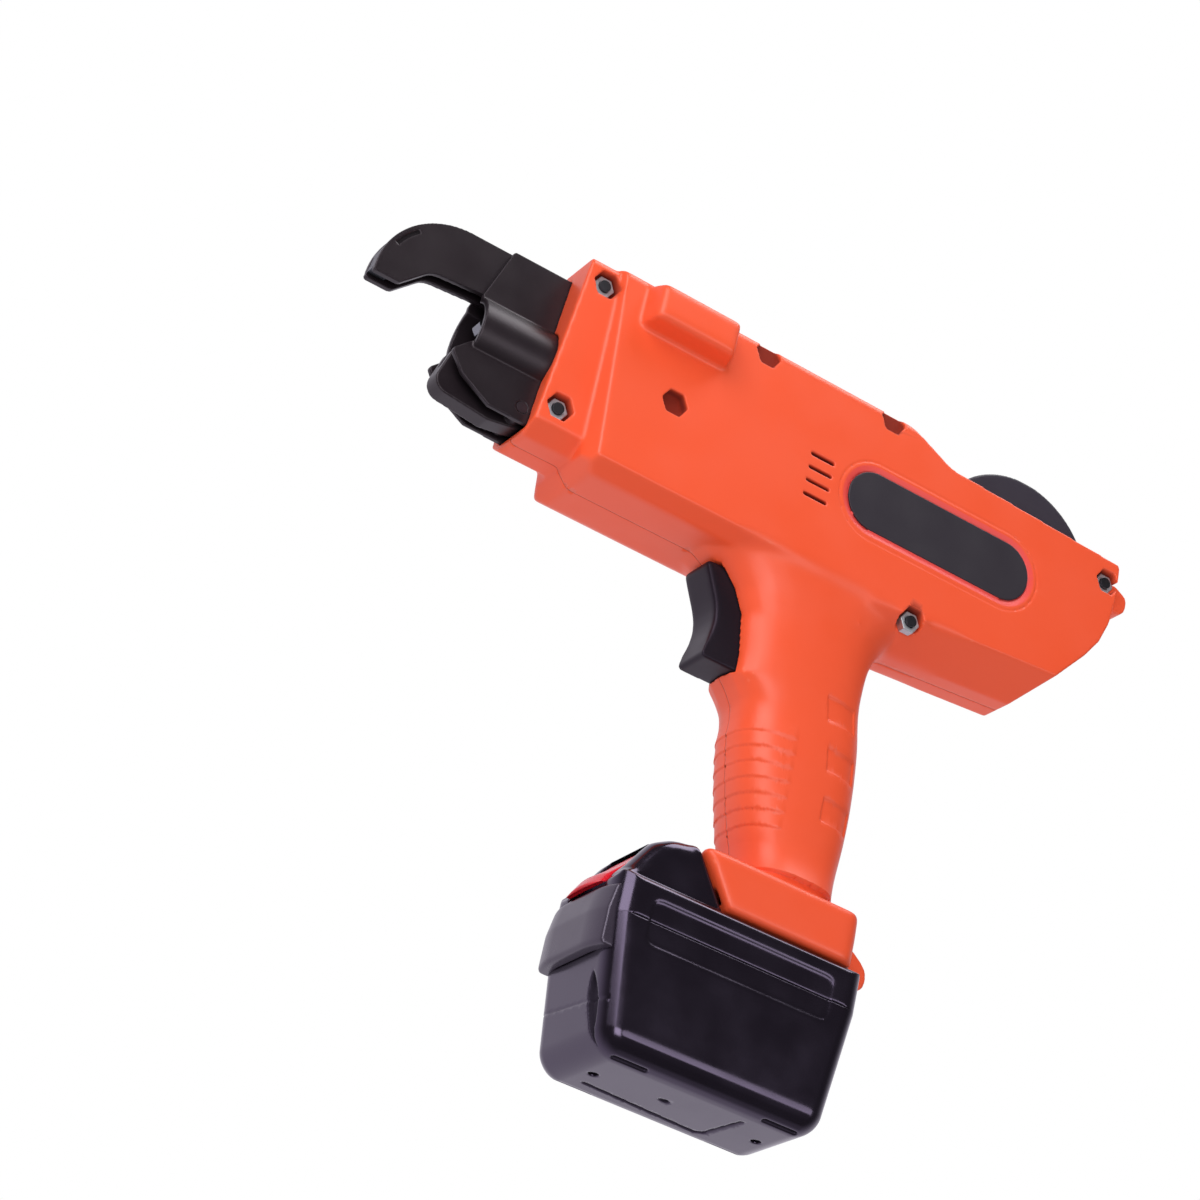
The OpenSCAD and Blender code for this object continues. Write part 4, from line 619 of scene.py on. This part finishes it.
# Polypropylene is dull and a little waxy; annealed wire is grey with a soft shine.
reel_black = moulded("polypropylene_black", body="#2B2331", drift="#2E2634", rubbed="#40374A", hollow="#110E14",
                     rough=0.48, grain=0.6, depth=0.01)
annealed_wire = machined("annealed_wire", body="#77777D", shade="#5F5F66", rough=0.34, lines=0.3, depth=0.004)
spool = soft_copy("wire_reel", voxel=0.4, rounds=3, share=0.3)
finish_piece(spool, "reel", reel_black, "wire_reel")
loops = []
for layer, loop_r, side in ((0, winding_r - wire_d * 1.37, 1), (1, winding_r - wire_d / 2, -1)):
    count = int(winding_w / wire_pitch) - layer
    for k in range(count * loop_points + 1):
        turn = 2 * math.pi * k / loop_points
        across = (k / loop_points - count / 2) * wire_pitch * side
        loops.append(reel_at + (loop_r * math.cos(turn), across, loop_r * math.sin(turn)))
winding = tube("wire_winding_loops", loops, wire_d / 2, 8)
finish_piece(winding, "reel", annealed_wire, "wire_winding")
wear("reel_axle", ground_steel)

# The reel lever: a thumb lever moulded in the housing's orange nylon. It turns on the rear
# bolt and keeps the reel in.
lever = soft_copy("reel_lever", voxel=0.35, rounds=4, share=0.3)
finish_piece(lever, "lever", orange_nylon, "reel_lever")

# The trigger: a hollow-fronted block of black ABS on a stem, moulded with a fine texture,
# which slides in its room in the grip.
# Matt and near black, with a texture of about 0.3 mm, drawn at 0.5 mm to show.
trigger_black = moulded("textured_abs_black", body="#1A161C", drift="#1C181F", rubbed="#39323D", hollow="#0C0A0D",
                        rough=0.4, grain=0.5, depth=0.01, ior=1.53, level=0.28, tint="#E0C4E4")


def trigger_free(points):
    """The hollow front is one smooth curve; the edges that slide in the grip are well rounded."""
    front = np.clip((-23 - points[:, 0]) / 3, 0, 1) * np.clip((points[:, 2] - 150) / 4, 0, 1)
    return np.where(points[:, 0] > -21, 3, 1 + 12 * front)


trigger = soft_copy("trigger", voxel=0.35, rounds=4, share=0.35, free=trigger_free)
finish_piece(trigger, "trigger_body", trigger_black, "trigger")

# The trigger's return spring: coiled from spring steel wire, with its ends closed flat. It
# sits on the stem in front of the switch and shortens as the trigger is pulled.
spring_wire = 0.8
trigger_coil_r, trigger_coils, trigger_travel = 4.4, 4, 5


def spring(name, start, end, radius, coils):
    """A spring from one end to the other, with its last half turns closed flat."""
    start, end = np.array(start, float), np.array(end, float)
    ahead = (end - start) / np.linalg.norm(end - start)
    out = np.cross(ahead, (0.0, 1.0, 0.0))
    over = np.cross(ahead, out)
    share = np.linspace(0, 1, coils * 28 + 1)
    turn = (2 * math.pi * coils * share)[:, None]
    rise = np.clip((share - 0.5 / coils) / (1 - 1 / coils), 0, 1)[:, None]
    path = start + rise * (end - start) + radius * (np.cos(turn) * out + np.sin(turn) * over)
    return tube(name, path, spring_wire / 2, 10)


# Hard drawn wire is bright, with faint lines along it.
spring_steel = machined("spring_steel", body="#8B8C93", shade="#74757C", rough=0.28, lines=0.3, depth=0.003)
low, high = (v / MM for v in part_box("trigger_spring"))
middle = (low + high) / 2
return_spring = spring("trigger_return_spring", (low.x + spring_wire / 2, 0, middle.z),
                       (high.x - spring_wire / 2, 0, middle.z), trigger_coil_r, trigger_coils)
finish_piece(return_spring, "trigger_body", spring_steel, "trigger_spring")
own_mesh(return_spring)

# The trigger switch and the terminal block: black nylon mouldings. The switch sits in the grip
# and takes the trigger's stem; the block sits above the rails' channel in the foot.
# Nylon is duller than the trigger, with a coarser grain.
switch_black = moulded("nylon_black", body="#1F1C20", drift="#242126", rubbed="#3C383E", hollow="#0E0C0E", rough=0.5,
                       grain=0.6, depth=0.01)
wear("trigger_switch", switch_black)
wear("terminal_block", switch_black)

# The control board on its four stands, and the battery's board over the cells: green glass-fibre
# laminate, sawn to size and coated.
# The solder mask has a soft gloss over a weave of about 0.9 mm.
solder_mask = moulded("glass_fibre_board_green", body="#2F6B46", drift="#2A6240", rubbed="#4C8A63", hollow="#173523",
                      rough=0.35, grain=0.9, depth=0.01)
wear("control_board", solder_mask)
wear("battery_board", solder_mask)

# The battery case: lower and upper shell of black ABS, moulded in polished tools and screwed
# together from below. The base has sunk lines, the front a tall slit, the top a hump.
base_line = ((-28.0, 8.8), (14.0, 11.4), (16.5, 9.0), (18.0, -10.0))
line_half, line_deep, line_edge = 0.8, 1.0, 0.3
hole_at, hole_r, hole_long = (-5.6, -2.2), 1.3, 1.7
foot_slot_at, foot_slot_half = (27.5, 16.65), 5.8
slit_top, slit_h, slit_w, slit_sunk = 26, 24, 2.9, 1.5
slit_y, slit_lean = -12.2, 3.2  # its top end, and how far it leans outwards
front_seam_h, front_seam_lean, front_seam_half, front_seam_sunk = 17.6, 0.07, 0.45, 0.35
base_end, end_flare, end_flare_h, side_flat = 40.5, 5.6, 44, 14.25  # the case widens upwards
corner_r = 8
deck_h = 57.5
hump_out = np.array((-0.842, 0.0, 0.54))  # the way the hump's slope faces
hump_at = np.array((-45.0, 0.0, deck_h))  # the foot of the slope
hump_roll, hump_side, hump_top = 5.5, 13.5, 70.7  # the roll's radius, and where it starts
hump_back, hump_lean = -8.1, 0.707  # foot and lean of the hump's back
over_deck = 57.6  # points above this belong to the hump
# Polished ABS is near black and mirrors the backdrop with a violet cast.
battery_black = moulded("polished_abs_black", body="#151117", drift="#17131A", rubbed="#2E2934", hollow="#070608",
                        rough=0.2, grain=0.8, depth=0.004, ior=1.54, level=1.0, tint="#DAC6F0", rub=0.3)


def base_lines(points):
    """Share 0 to 1 of the base's bent line, its oval hole and its four foot slots."""
    x, y, z = points.T
    near = np.full(len(points), 9.0)
    bent = [np.array(p) for p in base_line]
    for p, q in zip(bent, bent[1:]):
        run = q - p
        t = np.clip(((x - p[0]) * run[0] + (y - p[1]) * run[1]) / np.dot(run, run), 0, 1)
        near = np.minimum(near, np.hypot(x - p[0] - t * run[0], y - p[1] - t * run[1]))
    line = np.clip((line_half - near) / line_edge, 0, 1)
    hole_far = np.hypot((x - hole_at[0]) / hole_long, y - hole_at[1])
    hole = np.clip((hole_r - hole_far) / line_edge, 0, 1)
    slot_far = np.hypot(np.maximum(np.abs(np.abs(x) - foot_slot_at[0]) - foot_slot_half, 0),
                        np.abs(y) - foot_slot_at[1])
    slots = np.clip((line_half - slot_far) / line_edge, 0, 1)
    return np.maximum.reduce([line, hole, slots]) * (z < 3)


def front_slit(points):
    """Share 0 to 1 of the tall hollow beside the front's near corner."""
    x, y, z = points.T
    tall = np.clip((slit_top - z) / slit_h, 0, 1)
    middle = slit_y - slit_lean * tall
    wide = slit_w * np.sin(math.pi * tall ** 0.75)
    return np.clip((wide - np.abs(y - middle)) / 1.1, 0, 1) * (x < -34) * (z > 2) * (z < slit_top)


def corners(points):
    """Rolls the case's upright corners into its base."""
    x, y, z = points.T
    end = base_end + end_flare * np.clip(z / end_flare_h, 0, 1)
    over = np.stack([np.maximum(np.abs(x) - end + corner_r, 0), np.maximum(np.abs(y) - side_flat, 0),
                     np.maximum(corner_r - z, 0)], 1)
    back = np.maximum(1 - corner_r / np.maximum(np.linalg.norm(over, axis=1), tiny), 0)
    return over * back[:, None] * np.stack([-np.sign(x), -np.sign(y), 1 + 0 * z], 1)


def case_press(points, normals):
    """Round corners, the sunk lines of the base, the slit and the fine seam across the front."""
    x, y, z = points.T
    under, ahead = normals[:, 2] < -0.5, normals[:, 0] < -0.4
    seam_far = np.abs(z - front_seam_h - front_seam_lean * y)
    seam = np.clip((front_seam_half - seam_far) / line_edge, 0, 1) * ahead
    moved = corners(points)
    moved[:, 2] += base_lines(points) * under * line_deep
    moved[:, 0] += front_slit(points) * ahead * slit_sunk + front_seam_sunk * seam
    return moved


def case_shade(points, normals):
    """Painted shade in the base's lines and the slit."""
    return {"sunk": np.maximum(base_lines(points), np.clip(front_slit(points) * 5, 0, 1))}


def before_back(points):
    """Distance in front of the hump's back, which leans against the housing's foot."""
    return hump_back - hump_lean * (points[:, 2] - deck_h) - points[:, 0]


def hump_trim(points):
    """Rolls the hump's slope, top and sides into each other, and the case's corners."""
    x, y, z = points.T
    slope = (points - hump_at) @ hump_out
    over = np.stack([np.maximum(slope + hump_roll, 0), np.maximum(np.abs(y) - hump_side, 0),
                     np.maximum(z - hump_top, 0)], 1)
    back = np.maximum(1 - hump_roll / np.maximum(np.linalg.norm(over, axis=1), tiny), 0)
    back *= np.clip((z - over_deck) / 3, 0, 1) * np.clip(before_back(points) / 4, 0, 1)
    inward = over[:, :1] * hump_out + np.stack([0 * x, np.sign(y) * over[:, 1], over[:, 2]], 1)
    return points - back[:, None] * inward + corners(points) * (z < over_deck)[:, None]


def hump_free(points):
    """The rolled hump is smooth; its back, the rails, the seam and the button's room stay crisp."""
    y, z = points[:, 1], points[:, 2]
    soft = 1 + np.clip((z - 59) / 4, 0, 1) * np.clip((before_back(points) - 1.5) / 5, 0, 1) * 20
    button_room = (np.abs(y) < 11.5) & ((points - hump_at) @ hump_out < -0.4) & (z < 73)
    return np.where(button_room, 0, soft)


lower_case = soft_copy("battery_lower_case", voxel=0.4, rounds=5, share=0.3, press=case_press, shade=case_shade)
finish_piece(lower_case, "battery", battery_black, "battery_lower_case")
upper_case = soft_copy("battery_upper_case", voxel=0.4, rounds=5, share=0.3, free=hump_free, trim=hump_trim)
finish_piece(upper_case, "battery", battery_black, "battery_upper_case")

# The battery's front panel: a bare grey ABS plate, moulded with a satin face. It lies on the
# battery's front, and its ends bow back round the corners.
panel_flat, panel_end, panel_back = 9, 10.5, 2.2
panel_grey = moulded("satin_abs_grey", body="#352E3A", drift="#39323E", rubbed="#51485A", hollow="#19151C", rough=0.3,
                     grain=0.6, depth=0.006, ior=1.53, level=0.8, tint="#E2D6EE", rub=0.3)


def panel_bow(points, normals):
    """Bows the panel's ends back round the battery's corners."""
    moved = np.zeros_like(points)
    moved[:, 0] = panel_back * np.clip((np.abs(points[:, 1]) - panel_flat) / panel_end, 0, 1) ** 2
    return moved


panel = soft_copy("battery_front_panel", voxel=0.35, rounds=8, share=0.3, press=panel_bow)
finish_piece(panel, "battery", panel_grey, "battery_front_panel")

# In the battery: cells in shrunk blue PVC sleeves, pairs of brass clips that the terminal
# blades run between, and phosphated screws that hold the case from below.
# The sleeve has a soft gloss and slight wrinkles.
sleeve_blue = moulded("pvc_sleeve_blue", body="#4A5A8A", drift="#445481", rubbed="#7080AA", hollow="#26304D",
                      rough=0.32, grain=1.2, depth=0.01)
wear("battery_cells", sleeve_blue)
wear("battery_contacts", turned_brass)
wear("battery_screws", phosphated_steel)

# The release button: red ABS moulded with a gloss, in its room in the hump's slope. It is
# domed across its foot and pressed with the thumb.
button_half, button_dome, button_sunk = 11, 3.0, 1.0
button_deep, button_span = 4, 6.6  # the part that is squeezed: its depth under the slope, and all of it
room_foot, room_lean, room_back, room_floor = (-45.2, 56), 0.95, -35.2, 55.2  # the room behind it
# Glossy red, with a little painted shade in the corners.
button_red = moulded("gloss_abs_red", body="#D81A2B", drift="#DE1F30", rubbed="#F2585F", hollow="#7E0A14", rough=0.24,
                     grain=0.8, depth=0.003, level=0.25)


def button_press(points, normals):
    """Domes the button's foot and sinks its top between the hump's shoulders. Its sides, flat back and rear foot
    stay clear of the room at full travel."""
    proud = (points - hump_at) @ hump_out
    sink = np.clip((points[:, 2] - 59) / 9, 0, 1)
    height = button_dome * (1 - sink) * (1 - 0.6 * (points[:, 1] / button_half) ** 2) - button_sunk * sink
    drawn_in = -button_deep + (proud + button_deep) * (height + button_deep) / button_span
    squeezed = np.where(proud > -button_deep, drawn_in, proud)
    moved = hump_out * (squeezed - proud)[:, None]
    moved[:, 1] -= 0.015 * points[:, 1]
    x, z = points[:, 0] + moved[:, 0], points[:, 2] + moved[:, 2]
    wall = np.minimum(room_foot[0] + room_lean * (z - room_foot[1]), room_back)
    moved[:, 0] -= np.maximum(x - wall, 0)
    moved[:, 2] += np.maximum(room_floor - z, 0) * np.clip((x + 48.2) / 1.2, 0, 1)
    return moved


button = soft_copy("release_button", voxel=0.3, rounds=16, share=0.35, press=button_press)
finish_piece(button, "button", button_red, "release_button")

# The latch: a phosphated steel hook that rises through the battery's deck into the foot and
# drops with the button, and the coiled spring under it that lifts it again.
latch_coil_r, latch_coils, latch_travel = 3.0, 5, 3.5
wear("release_latch", phosphated_steel)
low, high = (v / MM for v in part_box("latch_spring"))
middle = (low + high) / 2
latch_coil = spring("latch_return_spring", (middle.x, 0, high.z - spring_wire / 2),
                    (middle.x, 0, low.z + spring_wire / 2), latch_coil_r, latch_coils)
finish_piece(latch_coil, "latch", spring_steel, "latch_spring")
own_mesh(latch_coil)
